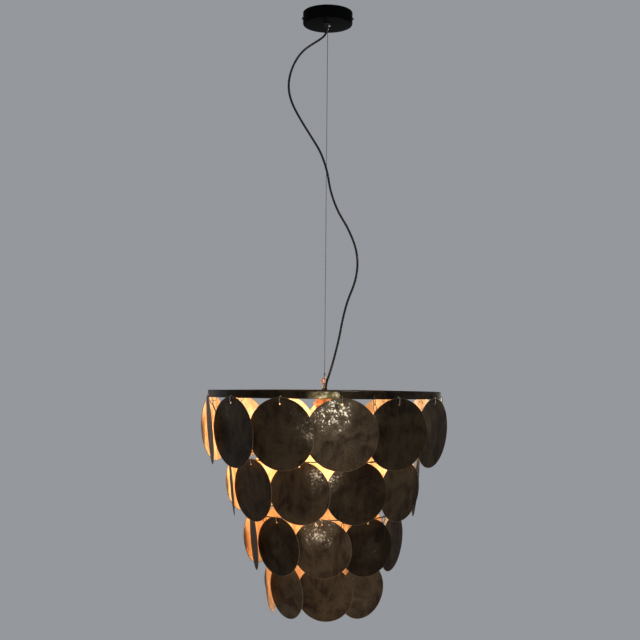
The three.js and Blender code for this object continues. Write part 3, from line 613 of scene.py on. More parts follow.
# How light the patina of some discs is, from 0 to 1; the lowest tier's side discs at 1 are painted warm
# bounce light
PATINA_AND_BOUNCE_TONES = {
    "upper": {1: 0.4, 2: 0.2, 3: 0.35, 12: 0.15, 13: 0.4},
    "second": {1: 0.45, 2: 0.05, 3: 0.5, 11: 0.4},
    "third": {1: 0.35, 2: 0.0, 10: 0.15},
    "lowest": {1: 0.3, 2: 1.0, 8: 1.0},
}
HAMMER_DEPTH = 0.14 * MM
HAMMER_SIZE = 14 * MM
WARP_DEPTH = 0.2 * MM
WARP_SIZE = 52 * MM
RIM_WOBBLE = 0.35 * MM
RIM_WAVES = 2.5
RIM_GROWTH = 14  # per metre: the wobble grows with the square of the way out
SPOT_SIZE = 30 * MM
SPOT_RAGGED = 0.5  # of a worn spot's edge
SPOT_REACH = 1.15  # times the spot's own width
SPOT_FALL = 0.8
SHIFT_RIGHT = 3.7  # of the noise, from one disc to the next
SHIFT_UP = 1.9


def ring_point(tier, azimuth_deg):
    """A point of a tier's ring. Azimuths turn from the viewer's side towards the right."""
    turn = math.radians(azimuth_deg)
    radius = tier["radius"]
    return Vector((math.sin(turn) * radius, -math.cos(turn) * radius, tier["height"]))


def disc_mesh(tier):
    """A domed disc about its centre, hollow side towards +Y, with its hole."""
    radius = tier["disc"] / 2
    half = DISC_THICKNESS / 2
    flat_to = radius - half
    shares = [math.sin(QUARTER * i / DISC_RINGS) for i in range(DISC_RINGS + 1)]
    dome = [(flat_to * s, -DISC_DOME * (1 - s * s)) for s in shares]
    outer = [(r, y - half) for r, y in dome]
    inner = [(r, y + half) for r, y in reversed(dome)]
    rim = arc((flat_to, 0), half, -90, 90, 4)[1:-1]
    mesh = lathe_mesh("disc", [*outer, *rim, *inner], DISC_SEGMENTS)
    mesh.transform(turned(-QUARTER, "X"))
    for face in mesh.polygons:
        reach = Vector((face.center.x, face.center.z)).length
        middle = -DISC_DOME * (1 - (reach / flat_to) ** 2)
        side = INSIDE if face.center.y > middle else OUTSIDE
        face.material_index = RIM if reach > flat_to else side
    hole = moved(0, 0, radius - tier["inset"]) @ turned(QUARTER, "X")
    bore = rod_mesh(hole, DISC_HOLE, DISC_BORE_REACH, DISC_HOLE_SIDES)
    return cut_with(check_outward(mesh), [bore])


def wear_and_sheen_at(place, radius, spot, shift):
    """How far the patina is worn off and painted paler, partly as a painted highlight: 1 in the middle of
    the spot, 0 well outside it.
    """
    right, up, width, amount = spot
    away = math.hypot(place.x / radius - right, place.y / radius - up) / width
    away += noise.noise(place / SPOT_SIZE + shift) * SPOT_RAGGED
    return amount * max(0.0, min(1.0, SPOT_REACH - away)) ** SPOT_FALL


def hand_worked(mesh, radius, spot, tone, seed):
    """A copy with the dents of a hammer, a slight warp, an uneven rim and a worn spot, partly a painted
    highlight.
    """
    copy = mesh.copy()
    shift = Vector((seed * SHIFT_RIGHT, seed * SHIFT_UP, 0))
    copy.attributes.new(TONE, "FLOAT", "POINT").data.foreach_set("value", [tone] * len(copy.vertices))
    marked = copy.attributes.new(WEAR_AND_SHEEN, "FLOAT", "POINT")
    for vertex in copy.vertices:
        place = Vector((vertex.co.x, vertex.co.z, 0))
        marked.data[vertex.index].value = wear_and_sheen_at(place, radius, spot, shift)
        reach = place.length
        dent = noise.noise(place / HAMMER_SIZE + shift) * HAMMER_DEPTH
        dent += noise.noise(place / WARP_SIZE + shift) * WARP_DEPTH
        vertex.co.y += dent
        if reach > TINY:
            wobble = noise.noise(place.normalized() * RIM_WAVES + shift)
            wobble *= RIM_WOBBLE * (reach * RIM_GROWTH) ** 2
            vertex.co.x *= 1 - abs(wobble) / reach
            vertex.co.z *= 1 - abs(wobble) / reach
    return copy


def oval(centre, axis, across, half_length, half_width, steps=36, power=0.78):
    """The middle line of an oval wire link. The lower the power, the squarer it is."""
    line = []
    for i in range(steps):
        turn = TURN * i / steps
        c, s = math.cos(turn), math.sin(turn)
        w = math.copysign(abs(c) ** power, c) * half_width
        h = math.copysign(abs(s) ** power, s) * half_length
        line.append(centre + across * w + axis * h)
    return line


def link_mesh(tier):
    """The wire link of a disc, about its pivot."""
    half_length = (tier["drop"] + tier["rise"]) / 2
    centre = Vector((0, tier["link_in"] - tier["half_width"], tier["rise"] - half_length))
    up, inwards = Vector((0, 0, 1)), Vector((0, 1, 0))
    line = oval(centre, up, inwards, half_length, tier["half_width"], steps=48, power=0.5)
    return smooth(sweep_mesh("link", line, round_outline(LINK_WIRE / 2, LINK_SIDES), closed=True))


def make_discs(tier, seed):
    """A tier's discs and links, each pair at its own joint."""
    disc = disc_mesh(tier)
    radius = tier["disc"] / 2
    hole_up = radius - tier["inset"]
    bar_to_hole = (DISC_HOLE - LINK_WIRE) / 2 + LINK_WELD
    centre_in = DISC_DOME / 2 * math.cos(DISC_LEAN)
    centre_up = -tier["drop"] - (hole_up + bar_to_hole) * math.cos(DISC_LEAN)
    hang = moved(0, centre_in, centre_up) @ turned(DISC_LEAN, "X")
    link = link_mesh(tier)
    name = tier["name"]
    for i in range(tier["discs"]):
        number = f"{i + 1:02d}"
        node = f"{name}_disc_{number}"
        joint = JOINTS[f"{node}_swing"]
        axis = joint["axis"]
        facing = math.atan2(-axis[1], -axis[0])
        place = moved(*joint["pos_m"]) @ turned(facing, "Z")
        chance = random.Random(seed + i)
        anywhere = (chance.uniform(*WORN_RIGHT), chance.uniform(*WORN_UP), *WORN_ELSEWHERE)
        spot = SHEEN_AND_WEAR_PLACES[name].get(i + 1, anywhere)
        tone = PATINA_AND_BOUNCE_TONES[name].get(i + 1, chance.uniform(*OTHER_TONES))
        mesh = smooth(hand_worked(disc, radius, spot, tone, seed + i), SOFT)
        mesh.transform(place @ hang)
        add_piece(f"{name}_plate_{number}", mesh, node, [BRONZE, GOLD, EDGE], [node])
        wire = link.copy()
        wire.transform(place)
        add_piece(f"{name}_link_{number}", wire, node, [LINK_BRONZE])


for number, tier in enumerate(TIERS):
    make_discs(tier, seed=1 + number * 20)

# Rings and chains
RING_WIRE = 3 * MM
RING_SEGMENTS = 180
RING_SIDES = 14
CHAIN_WIRE = 1.6 * MM
CHAIN_HALF_WIDTH = 3.6 * MM
CHAIN_PITCH = 20 * MM
CHAIN_END_SHIFT = 5 * MM
CHAINS = 3
CHAIN_SIDES = 10
CHAIN_AZIMUTHS = [25, -35, 50]  # near which each ring's first chain hangs
SEAT_GAP = 0.3 * MM
RING_FLAT = RING_WIRE / 2 * math.cos(math.pi / 6)  # from a ring's middle to where a chain meets it


def nearest_gap(tier, target):
    """The azimuth between two discs that is nearest to the target."""
    pitch = 360 / tier["discs"]
    first_gap = tier["first"] + pitch / 2
    return first_gap + math.floor((target - first_gap) / pitch + 0.5) * pitch


def chain_ends(upper, lower, first_azimuth):
    """The azimuths of the chains on the upper and the lower ring."""
    shift_up = math.degrees(CHAIN_END_SHIFT / upper["radius"])
    shift_down = math.degrees(CHAIN_END_SHIFT / lower["radius"])
    targets = [first_azimuth + i * 360 / CHAINS for i in range(CHAINS)]
    return [(nearest_gap(upper, target) + shift_up, nearest_gap(lower, target) - shift_down)
            for target in targets]


def chain_mesh(top, bottom, top_reach, bottom_reach):
    """An odd number of links, each a quarter turn on from the last, so that both end links lie alike."""
    axis = (top - bottom).normalized()
    start = top + axis * top_reach
    run = (start - (bottom - axis * bottom_reach)).length
    overlap = CHAIN_WIRE - LINK_WELD
    count = 2 * math.floor((run / CHAIN_PITCH - 1) / 2 + 0.5) + 1
    pitch = (run - overlap) / count
    outwards = Vector((top.x + bottom.x, top.y + bottom.y, 0)).normalized()
    flat = (outwards - axis * outwards.dot(axis)).normalized()
    upright = flat.cross(axis).normalized()
    outline = round_outline(CHAIN_WIRE / 2, CHAIN_SIDES)
    links = []
    for i in range(count):
        middle = start - axis * (overlap / 2 + pitch * (i + 0.5))
        across = upright if i % 2 else flat
        line = oval(middle, axis, across, (pitch + overlap) / 2, CHAIN_HALF_WIDTH)
        links.append(sweep_mesh("link", line, outline, closed=True))
    return smooth(joined("chain", links))


def make_rings():
    outline = round_outline(RING_WIRE / 2, RING_SIDES)
    for upper, lower, first in zip(TIERS, TIERS[1:], CHAIN_AZIMUTHS):
        line = [ring_point(lower, 360 * i / RING_SEGMENTS) for i in range(RING_SEGMENTS)]
        name = lower["name"]
        mesh = smooth(sweep_mesh("hoop", line, outline, closed=True))
        add_piece(f"{name}_hoop", mesh, "shade", [WIRE_BRONZE], [f"{name}_ring"])
        reach = 0 if upper is TIERS[0] else RING_WIRE / 2 + CHAIN_WIRE / 2 + SEAT_GAP
        for i, (above, below) in enumerate(chain_ends(upper, lower, first)):
            mesh = chain_mesh(ring_point(upper, above), ring_point(lower, below), reach,
                              RING_FLAT + CHAIN_WIRE / 2 - LINK_WELD)
            add_piece(f"{name}_chain_{i + 1}", mesh, "shade", [WIRE_BRONZE])


make_rings()

# Top frame
BAND_RADIUS = 273.75 * MM
BAND_THICKNESS = 2.5 * MM
BAND_TOP = -915 * MM
BAND_BOTTOM = -931.5 * MM
BAND_BEVEL = 0.5 * MM
BAND_DISC_HOLE = 3.5 * MM
BAND_CHAIN_HOLE = 4.4 * MM
BAND_HOLE_LIFT = 0.45 * MM  # of a hole's middle above the wire in it
BAND_SEGMENTS = 288
BAND_BORE_REACH = 8 * MM
BAND_LAP = (-9.3, 6.6)  # azimuths of the strip's end that laps over the joint
BAND_LAP_THICKNESS = 0.7 * MM
BAND_LAP_TIP = 0.12  # of the thickness, at the end that is ground thin
BAND_LAP_GROWTH = 3
BAND_LAP_MARGIN = 0.9 * MM  # of the band left above and below it
BAND_LAP_SINK = 0.1 * MM
BAND_LAP_STEPS = 48
BAND_LAP_SHEEN_GROWTH = 1.6
CROSSBAR_WIDTH = 20 * MM
CROSSBAR_THICKNESS = 3 * MM
CROSSBAR_RISE = 2.5 * MM
CROSSBAR_AZIMUTH = 14
CROSSBAR_STEPS = 40
CROSSBAR_SINK = 0.5 * MM  # of its ends in the band
CROSSBAR_BEVEL = 0.4 * MM
SHANK_HOLE = 8.6 * MM
SHANK_HOLE_SIDES = 40
SHANK_BORE_REACH = 20 * MM
CABLE_HOLE = 8 * MM
CABLE_HOLE_SIDES = 32
CABLE_HOLE_PLACE = (3.387 * MM, -13.584 * MM)


def make_band():
    """The flat band ring, with the holes for the upper discs' links and the chains."""
    inner = BAND_RADIUS - BAND_THICKNESS / 2
    outer = BAND_RADIUS + BAND_THICKNESS / 2
    soft = BAND_BEVEL
    corners = [
        (inner, BAND_BOTTOM + soft), (inner + soft, BAND_BOTTOM), (outer - soft, BAND_BOTTOM),
        (outer, BAND_BOTTOM + soft), (outer, BAND_TOP - soft), (outer - soft, BAND_TOP),
        (inner + soft, BAND_TOP), (inner, BAND_TOP - soft),
    ]
    band = turned_solid("band", [*corners, corners[0]], BAND_SEGMENTS)
    upper = TIERS[0]
    places = [(upper["first"] + i * 360 / upper["discs"], BAND_DISC_HOLE) for i in range(upper["discs"])]
    places += [(above, BAND_CHAIN_HOLE) for above, _ in chain_ends(upper, TIERS[1], CHAIN_AZIMUTHS[0])]
    rods = []
    for azimuth, width in places:
        middle = ring_point(upper, azimuth) + Vector((0, 0, BAND_HOLE_LIFT))
        place = moved(*middle) @ turned(math.radians(azimuth), "Z") @ turned(QUARTER, "X")
        rods.append(rod_mesh(place, width, BAND_BORE_REACH))
    band = cut_with(band, [joined("rods", rods)])
    add_piece("band", smooth(band, CRISP), "shade", [BRONZE], ["top_frame"])


def make_band_lap():
    """The end of the band's strip, ground thin and round, laid over the joint, and painted paler towards
    its round end as a painted sheen.
    """
    low, high = BAND_LAP
    outer = BAND_RADIUS + BAND_THICKNESS / 2
    half = (BAND_TOP - BAND_BOTTOM) / 2 - BAND_LAP_MARGIN
    middle = (BAND_TOP + BAND_BOTTOM) / 2
    steps = BAND_LAP_STEPS
    points = []
    for i in range(steps + 1):
        share = i / steps
        azimuth = math.radians(low + (high - low) * share)
        from_end = (high - math.degrees(azimuth)) / math.degrees(half / outer)
        tall = half * math.sqrt(max(0.02, 1 - max(0.0, 1 - from_end) ** 2))
        thick = BAND_LAP_THICKNESS * min(1.0, BAND_LAP_TIP + share * BAND_LAP_GROWTH)
        back, shoulder, face = outer - BAND_LAP_SINK, outer + thick * 0.7, outer + thick
        section = [(back, tall), (shoulder, tall), (face, tall * 0.9),
                   (face, -tall * 0.9), (shoulder, -tall), (back, -tall)]
        for radius, height in section:
            points.append((math.sin(azimuth) * radius, -math.cos(azimuth) * radius, middle + height))
    mesh = check_outward(skinned("band_lap", points, len(section)))
    # The wear-and-sheen value grows towards the round end: a painted sheen that fades to the left
    marked = mesh.attributes.new(WEAR_AND_SHEEN, "FLOAT", "POINT")
    for i, value in enumerate(marked.data):
        value.value = min(1.0, i // len(section) / steps * BAND_LAP_SHEEN_GROWTH)
    add_piece("band_lap", smooth(mesh, CRISP), "shade", [LAP_BRONZE_SHEEN])


def make_crossbars():
    """Two crossed bars, arched a little, cut from one sheet, with the holes for shank and flex."""
    reach = BAND_RADIUS - BAND_THICKNESS / 2 + CROSSBAR_SINK
    half = CROSSBAR_WIDTH / 2
    third = half / 3
    marks = [half + (reach - half) * i / CROSSBAR_STEPS for i in range(CROSSBAR_STEPS + 1)]
    steps = [-m for m in reversed(marks)] + [-third, third] + marks
    grid = {}
    points = []
    faces = []

    def corner(x, y):
        if (x, y) not in grid:
            grid[x, y] = len(points)
            away = max(abs(x), abs(y))
            along = away if away > half else 0.0
            points.append((x, y, BAND_TOP + CROSSBAR_RISE * (1 - (along / reach) ** 2)))
        return grid[x, y]

    rows = [-half, -third, third, half]
    for a, b in zip(steps, steps[1:]):
        for c, d in zip(rows, rows[1:]):
            faces.append((corner(a, c), corner(b, c), corner(b, d), corner(a, d)))
            if max(abs(a), abs(b)) > half:
                faces.append((corner(c, a), corner(c, b), corner(d, b), corner(d, a)))
    sheet = new_mesh("crossbars", points, faces)
    sheet.transform(turned(math.radians(CROSSBAR_AZIMUTH), "Z"))
    for face in sheet.polygons:
        if face.normal.z < 0:
            face.flip()
    bars = with_modifier(sheet, "SOLIDIFY", thickness=CROSSBAR_THICKNESS, offset=-1.0)
    shank = rod_mesh(moved(0, 0, BAND_TOP), SHANK_HOLE, SHANK_BORE_REACH, SHANK_HOLE_SIDES)
    place = moved(*CABLE_HOLE_PLACE, BAND_TOP)
    cable = rod_mesh(place, CABLE_HOLE, SHANK_BORE_REACH, CABLE_HOLE_SIDES)
    bars = cut_with(bars, [shank, cable])
    bars = with_modifier(bars, "BEVEL", width=CROSSBAR_BEVEL, segments=2, limit_method="ANGLE")
    add_piece("crossbars", smooth(bars, CRISP), "shade", [BRONZE])


make_band()
make_band_lap()
make_crossbars()

# Eye, nut, lampholder and bulb
EYE_CENTRE = -891.5 * MM
EYE_RING_RADIUS = 5.9 * MM
EYE_BAR = 4.2 * MM
EYE_STEPS = 48
NECK_LOW = 3 * MM
NECK_HIGH = 2.6 * MM
NECK_FLARE = 2 * MM
SHANK = 8 * MM
SHANK_TOP = -904.5 * MM
SHANK_BOTTOM = -922.8 * MM
SHANK_BEVEL = 0.5 * MM
THREAD_DEPTH = 0.35 * MM
THREAD_TURNS = 11
NUT_BOTTOM = -912.2 * MM
NUT_HEIGHT = 5 * MM
NUT_ACROSS = 13 * MM
NUT_BEVEL = 0.5 * MM
HOLDER_TOP = -915.8 * MM
HOLDER_BOTTOM = -961.8 * MM
HOLDER_RADIUS = 21 * MM
HOLDER_EDGE = 3 * MM
HOLDER_SHANK_REACH = 12 * MM
HOLDER_CABLE_REACH = 4 * MM
RIB_PITCH = 2 * MM
RIB_DEPTH = 0.3 * MM
COLLAR_RADIUS = 26 * MM
COLLAR_TOP = -941.8 * MM
COLLAR_BOTTOM = -947.8 * MM
COLLAR_EDGE = 0.8 * MM
BORE = 13.3 * MM
ROOF = -924.8 * MM
CAP_RADIUS = 13 * MM
CAP_EDGE = 1 * MM
CAP_START = 1.5 * MM
CAP_PITCH = 2.6 * MM
CAP_TURNS = 7
CAP_THREAD_MM = [(0, 0), (0.3, 0.7), (1.1, 1.3), (0.3, 1.9)]  # inwards and up, over one turn
CAP_TIP_MM = [(12, 5), (9, 3.5), (4.5, 3.2), (4.5, 0.6), (3.6, 0), (0, 0)]  # radius, and below the top
GLOBE_RADIUS = 30 * MM
GLOBE_NECK = 12.5 * MM
SHOULDER_TOP = HOLDER_BOTTOM - 2 * MM
SHOULDER_PULLS = (18 * MM, 20 * MM)  # down from the neck, and up from the globe
SHOULDER_STEPS = 12


def make_eye():
    """The eye and its threaded shank, in one."""
    circle = arc((0, EYE_CENTRE), EYE_RING_RADIUS, 0, 360, EYE_STEPS)[:-1]
    line = [Vector((x, 0, z)) for x, z in circle]
    ring = sweep_mesh("eye", line, round_outline(EYE_BAR / 2, 16), closed=True)
    neck_top = EYE_CENTRE - EYE_RING_RADIUS
    r = SHANK / 2
    profile = [(0, SHANK_BOTTOM), (r - SHANK_BEVEL, SHANK_BOTTOM), (r, SHANK_BOTTOM + SHANK_BEVEL)]
    run = SHANK_TOP - SHANK_BOTTOM - 3 * SHANK_BEVEL
    for i in range(THREAD_TURNS):
        z = SHANK_BOTTOM + 2 * SHANK_BEVEL + run * i / THREAD_TURNS
        profile += [(r, z), (r - THREAD_DEPTH, z + 2 * THREAD_DEPTH)]
    profile += [(r, SHANK_TOP), (NECK_LOW, SHANK_TOP + NECK_FLARE), (NECK_HIGH, neck_top), (0, neck_top)]
    mesh = joined("eye", [check_outward(ring), turned_solid("shank", profile, 32)])
    add_piece("eye_bolt", smooth(mesh, CRISP), "shade", [BULB_LIT_COPPER], ["top_eye"])


def make_nut():
    """A hexagon nut on the shank."""
    corner = NUT_ACROSS / 2 / math.cos(math.pi / 6)
    top = NUT_BOTTOM + NUT_HEIGHT
    profile = [(0, NUT_BOTTOM), (corner, NUT_BOTTOM), (corner, top), (0, top)]
    body = turned_solid("nut", profile, 6)
    body.transform(turned(math.pi / 6, "Z"))
    bore = rod_mesh(moved(0, 0, NUT_BOTTOM), SHANK_HOLE, SHANK_BORE_REACH, SHANK_HOLE_SIDES)
    mesh = cut_with(body, [bore])
    mesh = with_modifier(mesh, "BEVEL", width=NUT_BEVEL, segments=3, limit_method="ANGLE")
    add_piece("shank_nut_brass", smooth(mesh, CRISP), "shade", [BULB_LIT_BRASS], ["shank_nut"])


def make_lampholder():
    """A ribbed skirt, a collar and a round shoulder about the bore for the bulb's cap."""
    r, wide = HOLDER_RADIUS, COLLAR_RADIUS
    edge, bevel = HOLDER_EDGE, COLLAR_EDGE
    profile = [(0, ROOF), (BORE, ROOF), (BORE, HOLDER_BOTTOM), (r - 1 * MM, HOLDER_BOTTOM)]
    z = HOLDER_BOTTOM + 0.6 * RIB_PITCH
    while z < COLLAR_BOTTOM - RIB_PITCH:
        profile += [(r, z), (r, z + 0.6 * RIB_PITCH), (r - RIB_DEPTH, z + 0.8 * RIB_PITCH)]
        z += RIB_PITCH
    profile += [
        (r, COLLAR_BOTTOM), (wide - bevel, COLLAR_BOTTOM), (wide, COLLAR_BOTTOM + bevel),
        (wide, COLLAR_TOP - bevel), (wide - bevel, COLLAR_TOP), (r, COLLAR_TOP),
        *arc((r - edge, HOLDER_TOP - edge), edge, 0, 90, 6), (0, HOLDER_TOP),
    ]
    shank = rod_mesh(moved(0, 0, HOLDER_TOP), SHANK_HOLE, HOLDER_SHANK_REACH, SHANK_HOLE_SIDES)
    place = moved(*CABLE_HOLE_PLACE, HOLDER_TOP)
    cable = rod_mesh(place, FLEX_DIAMETER + 2 * SEAT_GAP, HOLDER_CABLE_REACH, CABLE_HOLE_SIDES)
    mesh = cut_with(turned_solid("holder", profile, 96), [shank, cable])
    add_piece("holder", smooth(mesh, CRISP), "shade", [BULB_LIT_COPPER], ["lampholder"])


def make_screw_cap():
    low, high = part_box("bulb_cap")
    profile = [(0, low.z), (CAP_RADIUS - CAP_EDGE, low.z)]
    for i in range(CAP_TURNS):
        z = low.z + CAP_START + i * CAP_PITCH
        profile += [(CAP_RADIUS - inwards * MM, z + up * MM) for inwards, up in CAP_THREAD_MM]
    profile += [(radius * MM, high.z - below * MM) for radius, below in CAP_TIP_MM]
    cap = turned_solid("cap", profile, 64)
    add_piece("screw_cap", smooth(cap, SOFT), "shade", [BULB_LIT_BRASS], ["bulb_cap"])


def make_bulb():
    """The bulb's glass: neck, smooth shoulder and globe. Gives the globe's centre."""
    low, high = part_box("bulb_glass")
    wide, neck = GLOBE_RADIUS, GLOBE_NECK
    globe = low.z + wide
    top = SHOULDER_TOP
    pull_down, pull_up = SHOULDER_PULLS
    profile = [(0, high.z), (neck, high.z), (neck, top)]
    for i in range(1, SHOULDER_STEPS + 1):
        t = i / SHOULDER_STEPS
        a, b, c, d = (1 - t) ** 3, 3 * t * (1 - t) ** 2, 3 * t * t * (1 - t), t**3
        height = a * top + b * (top - pull_down) + c * (globe + pull_up) + d * globe
        profile.append(((a + b) * neck + (c + d) * wide, height))
    profile += arc((0, globe), wide, 0, -88, 14)[1:]
    profile.append((0, globe - wide))
    glass = smooth(turned_solid("glass", profile, 72), SOFT)
    piece = add_piece("bulb", glass, "shade", [OPAL], ["bulb_glass"])
    piece.visible_shadow = False
    return Vector((0, 0, globe))


make_eye()
make_nut()
make_lampholder()
make_screw_cap()
BULB_CENTRE = make_bulb()

# Ceiling fittings and wire
CANOPY_RADIUS = 60 * MM
CANOPY_FLOOR = -30 * MM
CANOPY_WALL = 1.2 * MM
CANOPY_EDGE = 3.5 * MM
CANOPY_LIP = 0.3 * MM
FITTING_HOLE = 10.6 * MM
FITTING_BORE_REACH = 10 * MM
SET_SCREW_HOLE = 4.6 * MM
SET_SCREW_BORE_REACH = 80 * MM
SET_SCREW_DEPTH = -14 * MM
SET_SCREW_MM = [(0, -8), (2, -8), (2, 0), (3.5, 0), (3.5, 1), (3.01, 1.9), (1.75, 2.35), (0, 2.4)]
SLIT_LOW_MM = Vector((-5, -0.45, 1.3))
SLIT_HIGH_MM = Vector((5, 0.45, 5.3))
GRIP_PLACE = (-2 * MM, -14 * MM)
# Sizes in mm of the two fittings through the canopy's floor
GRIPPER = {"neck": 5, "flange": 7.5, "above": 8, "nose": 3, "tip_radius": 2.2, "bore": 1.05,
           "bore_depth": 0, "tip": -41.5}
GRIP = {"neck": 5, "flange": 6.2, "above": 5, "nose": 4.6, "tip_radius": 3.8, "bore": 3.05,
        "bore_depth": 7, "tip": -40.5}
FLANGE_HEIGHT = 3 * MM
COLLAR_HEIGHT = 2.2 * MM
FITTING_BEVEL = 0.4 * MM
WIRE_RADIUS = 0.75 * MM
WIRE_STEP = 1 * MM
WIRE_TURN = math.radians(33)  # of the laid strands, over one step
WIRE_STRANDS = 6
WIRE_GROOVE = 0.86  # of the radius, between two strands
WIRE_LOOP_RADIUS = 4.6 * MM
WIRE_LOOP_BOTTOM = -888.75 * MM
WIRE_LOOP_STEPS = 40
FERRULE_RADIUS = 2 * MM
FERRULE_LENGTH = 9 * MM
FERRULE_BEVEL = 0.4 * MM
CRIMPS = 3
CRIMP_START = 1.8 * MM
CRIMP_PITCH = 2.2 * MM
CRIMP_MM = [(0, 0), (0.3, 0.3), (0.3, 0.8), (0, 1.1)]  # inwards and up


def make_canopy():
    """A cup with a soft lower edge, with holes for the two fittings and the set screws."""
    centre = (CANOPY_RADIUS - CANOPY_EDGE, CANOPY_FLOOR + CANOPY_EDGE)
    outer = arc(centre, CANOPY_EDGE, -90, 0, 8)
    inner = list(reversed(arc(centre, CANOPY_EDGE - CANOPY_WALL, -90, 0, 8)))
    profile = [(0, CANOPY_FLOOR), *outer, (CANOPY_RADIUS, -CANOPY_LIP), (CANOPY_RADIUS - CANOPY_LIP, 0),
               (CANOPY_RADIUS - CANOPY_WALL, 0), *inner, (0, CANOPY_FLOOR + CANOPY_WALL)]
    holes = [rod_mesh(moved(*place, CANOPY_FLOOR), FITTING_HOLE, FITTING_BORE_REACH)
             for place in ((0, 0), GRIP_PLACE)]
    across = moved(0, 0, SET_SCREW_DEPTH) @ turned(QUARTER, "Y")
    holes.append(rod_mesh(across, SET_SCREW_HOLE, SET_SCREW_BORE_REACH))
    mesh = smooth(cut_with(turned_solid("canopy", profile, 128), holes), CRISP)
    add_piece("canopy", mesh, "root", [LACQUER], ["ceiling_canopy"])


def make_set_screws():
    seat = CANOPY_RADIUS + SEAT_GAP
    for node, side in (("canopy_screw_right", 1), ("canopy_screw_left", -1)):
        profile = [(radius * MM, seat + height * MM) for radius, height in SET_SCREW_MM]
        lift = Vector((0, 0, seat))
        slit = box_mesh(SLIT_LOW_MM * MM + lift, SLIT_HIGH_MM * MM + lift)
        mesh = cut_with(turned_solid("screw", profile, 32), [slit])
        mesh.transform(moved(0, 0, SET_SCREW_DEPTH) @ turned(side * QUARTER, "Y"))
        add_piece(f"{node}_steel", smooth(mesh, CRISP), "root", [BLACK_STEEL], [node])


def fitting_mesh(sizes_mm):
    """A fitting through the canopy's floor: flange above, collar below, then a nose with a bore."""
    size = {key: value * MM for key, value in sizes_mm.items()}
    neck, flange, nose, tip, bore = (size[key] for key in ("neck", "flange", "nose", "tip", "bore"))
    thin = size["tip_radius"]
    floor_top = CANOPY_FLOOR + CANOPY_WALL + SEAT_GAP
    floor_under = CANOPY_FLOOR - SEAT_GAP
    flange_top = floor_top + FLANGE_HEIGHT
    collar = (neck + flange) / 2
    collar_under = floor_under - COLLAR_HEIGHT
    top = floor_top + size["above"]
    soft = FITTING_BEVEL
    outside = [
        (neck - soft, top), (neck, top - soft), (neck, flange_top), (flange - soft, flange_top),
        (flange, flange_top - soft), (flange, floor_top), (neck, floor_top), (neck, floor_under),
        (collar, floor_under), (collar, collar_under + soft), (collar - soft, collar_under),
        (nose, collar_under), (thin, tip + soft), (thin - soft, tip), (bore, tip),
    ]
    if size["bore_depth"]:
        roof = tip + size["bore_depth"]
        return turned_solid("fitting", [(0, top), *outside, (bore, roof), (0, roof)], 48)
    return turned_solid("fitting", [(bore, top), *outside, (bore, top)], 48)


def make_fittings():
    mesh = smooth(fitting_mesh(GRIPPER), CRISP)
    add_piece("gripper_steel", mesh, "root", [STEEL], ["wire_gripper"])
    mesh = smooth(fitting_mesh(GRIP), CRISP)
    mesh.transform(moved(*GRIP_PLACE, 0))
    add_piece("cord_grip_moulded", mesh, "root", [PLASTIC], ["cord_grip"])


def make_wire():
    """A laid steel wire: its strands turn round the middle, and its end is crimped into a loop."""
    wire_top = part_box("suspension_wire")[1].z
    outline = []
    for i in range(WIRE_STRANDS * 3):
        turn = TURN * i / (WIRE_STRANDS * 3)
        radius = WIRE_RADIUS if i % 3 else WIRE_RADIUS * WIRE_GROOVE
        outline.append((math.cos(turn) * radius, math.sin(turn) * radius))
    loop_centre = WIRE_LOOP_BOTTOM + WIRE_LOOP_RADIUS
    low = loop_centre + WIRE_LOOP_RADIUS - 2 * WIRE_RADIUS
    count = round((wire_top - low - 2 * MM) / WIRE_STEP)
    line = [Vector((0, 0, wire_top - i * WIRE_STEP)) for i in range(count + 1)]
    rope = sweep_mesh("rope", line, outline, turn_per_step=WIRE_TURN)
    circle = arc((0, loop_centre), WIRE_LOOP_RADIUS, 0, 360, WIRE_LOOP_STEPS)[:-1]
    line = [Vector((0, y, z)) for y, z in circle]
    loop = sweep_mesh("loop", line, round_outline(WIRE_RADIUS, 12), closed=True)
    r, soft = FERRULE_RADIUS, FERRULE_BEVEL
    high = low + FERRULE_LENGTH
    profile = [(0, low), (r - soft, low), (r, low + soft)]
    for i in range(CRIMPS):
        z = low + CRIMP_START + i * CRIMP_PITCH
        profile += [(r - inwards * MM, z + up * MM) for inwards, up in CRIMP_MM]
    profile += [(r, high - soft), (r - soft, high), (0, high)]
    ferrule = turned_solid("ferrule", profile, 32)
    mesh = joined("wire", [check_outward(rope), check_outward(loop), ferrule])
    add_piece("wire_rope", smooth(mesh), "root", [ROPE_STEEL], ["suspension_wire"])


def dress_hidden_nodes():
    """Materials for the solids that are carried over as they are."""
    for node, look in (("ceiling_bracket", ZINC), ("terminal_block", PALE_PLASTIC)):
        piece = frame["nodes"][node]
        piece.data.materials.clear()
        piece.data.materials.append(look)


make_canopy()
make_set_screws()
make_fittings()
make_wire()
dress_hidden_nodes()

# Room: pale floor, soft studio light and the lamp's own bulb
FLOOR_HEIGHT = -2.95
FLOOR_RADIUS = 5.6
WALL_LIGHT = (0.300, 0.312, 0.332)
FRONT_LIGHT = (0.150, 0.153, 0.157)
WALL_BLEND = (-0.5, 0.7)  # the world's light turns from front to wall between these directions
BULB_WATTS = 4.2
BULB_COLOUR = (1.0, 0.72, 0.43)
BULB_SIZE = 0.028
WHITE = (1, 1, 1)
WARM = (1.0, 0.62, 0.38)
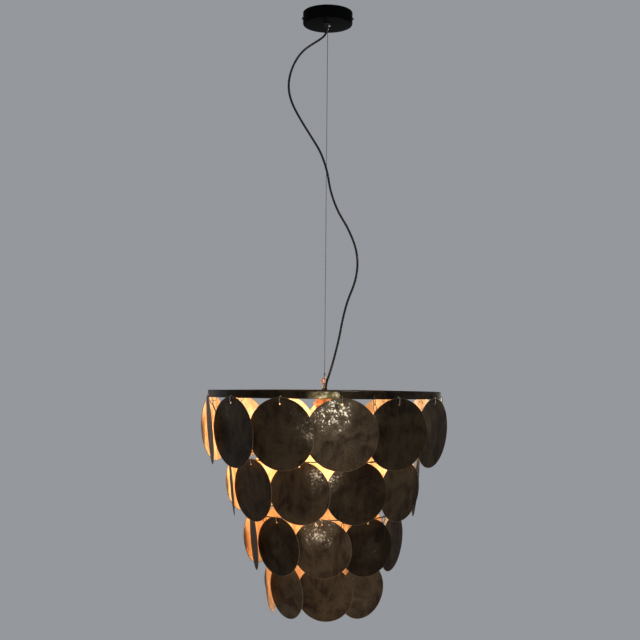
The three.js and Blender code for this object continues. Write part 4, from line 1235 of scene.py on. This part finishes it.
# Name, place, target, size, watts and colour
SOFT_BOXES = [
    ("front", (0.12, -2.45, -1.30), (0, 0, -1.05), (0.3, 0.3), 17, WHITE),
    ("below", (0.0, -1.1, -2.2), (0, 0, -1.3), (2.2, 0.8), 7, WARM),
    ("floor_wash", (0, 0, -1.7), (0, 0.001, FLOOR_HEIGHT), (5, 5), 26, WHITE),
    ("overhead", (0, 0.2, 1.7), (0, 0, -1.15), (3.2, 3.2), 60, WHITE),
    ("right", (2.7, 0.3, -0.6), (0, 0, -1.15), (1.4, 1.4), 10, WHITE),
    ("back", (0.9, 2.6, -0.4), (0, 0, -1.15), (1.6, 1.6), 30, WHITE),
    ("left", (-2.3, 1.9, -1.0), (0, 0, -1.15), (1.4, 1.4), 16, WHITE),
]


def make_floor():
    profile = [(0, FLOOR_HEIGHT), (FLOOR_RADIUS, FLOOR_HEIGHT)]
    floor = new_object("floor", lathe_mesh("floor", profile, 96))
    look = Look("floor", (0.55, 0.55, 0.55), 0.0, 0.8)
    shade = look.mix(look.noise(3, detail=3), (0.72, 0.72, 0.73), (0.77, 0.77, 0.78))
    floor.data.materials.append(look.set(Base_Color=shade))


def make_world():
    """Even light, paler on the wall's side than on the viewer's."""
    world = bpy.data.worlds.new("room")
    world.use_nodes = True
    room = Nodes(world.node_tree)
    direction = room.node("ShaderNodeTexCoord").outputs["Generated"]
    split = room.node("ShaderNodeSeparateXYZ", Vector=direction)
    share = room.ramp(split.outputs["Y"], *WALL_BLEND)
    share.node.interpolation_type = "SMOOTHSTEP"
    background = world.node_tree.nodes["Background"]
    room.feed(background.inputs["Color"], room.mix(share, FRONT_LIGHT, WALL_LIGHT))
    bpy.context.scene.world = world


def new_light(name, kind, watts, colour):
    light = bpy.data.objects.new(name, bpy.data.lights.new(name, kind))
    light.data.energy = watts
    light.data.color = colour
    bpy.context.scene.collection.objects.link(light)
    return light


def make_soft_box(name, place, target, size, watts, colour):
    light = new_light(name, "AREA", watts, colour)
    light.data.shape = "RECTANGLE"
    light.data.size, light.data.size_y = size
    aim = (Vector(target) - Vector(place)).to_track_quat("-Z", "Y")
    light.matrix_world = moved(*place) @ aim.to_matrix().to_4x4()
    light.visible_camera = False


def make_lights():
    for box in SOFT_BOXES:
        make_soft_box(*box)
    light = new_light("bulb_light", "POINT", BULB_WATTS, BULB_COLOUR)
    light.data.shadow_soft_size = BULB_SIZE
    light.location = BULB_CENTRE
    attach(light, "shade")


make_floor()
make_world()
make_lights()
bpy.context.scene.view_settings.view_transform = "Standard"
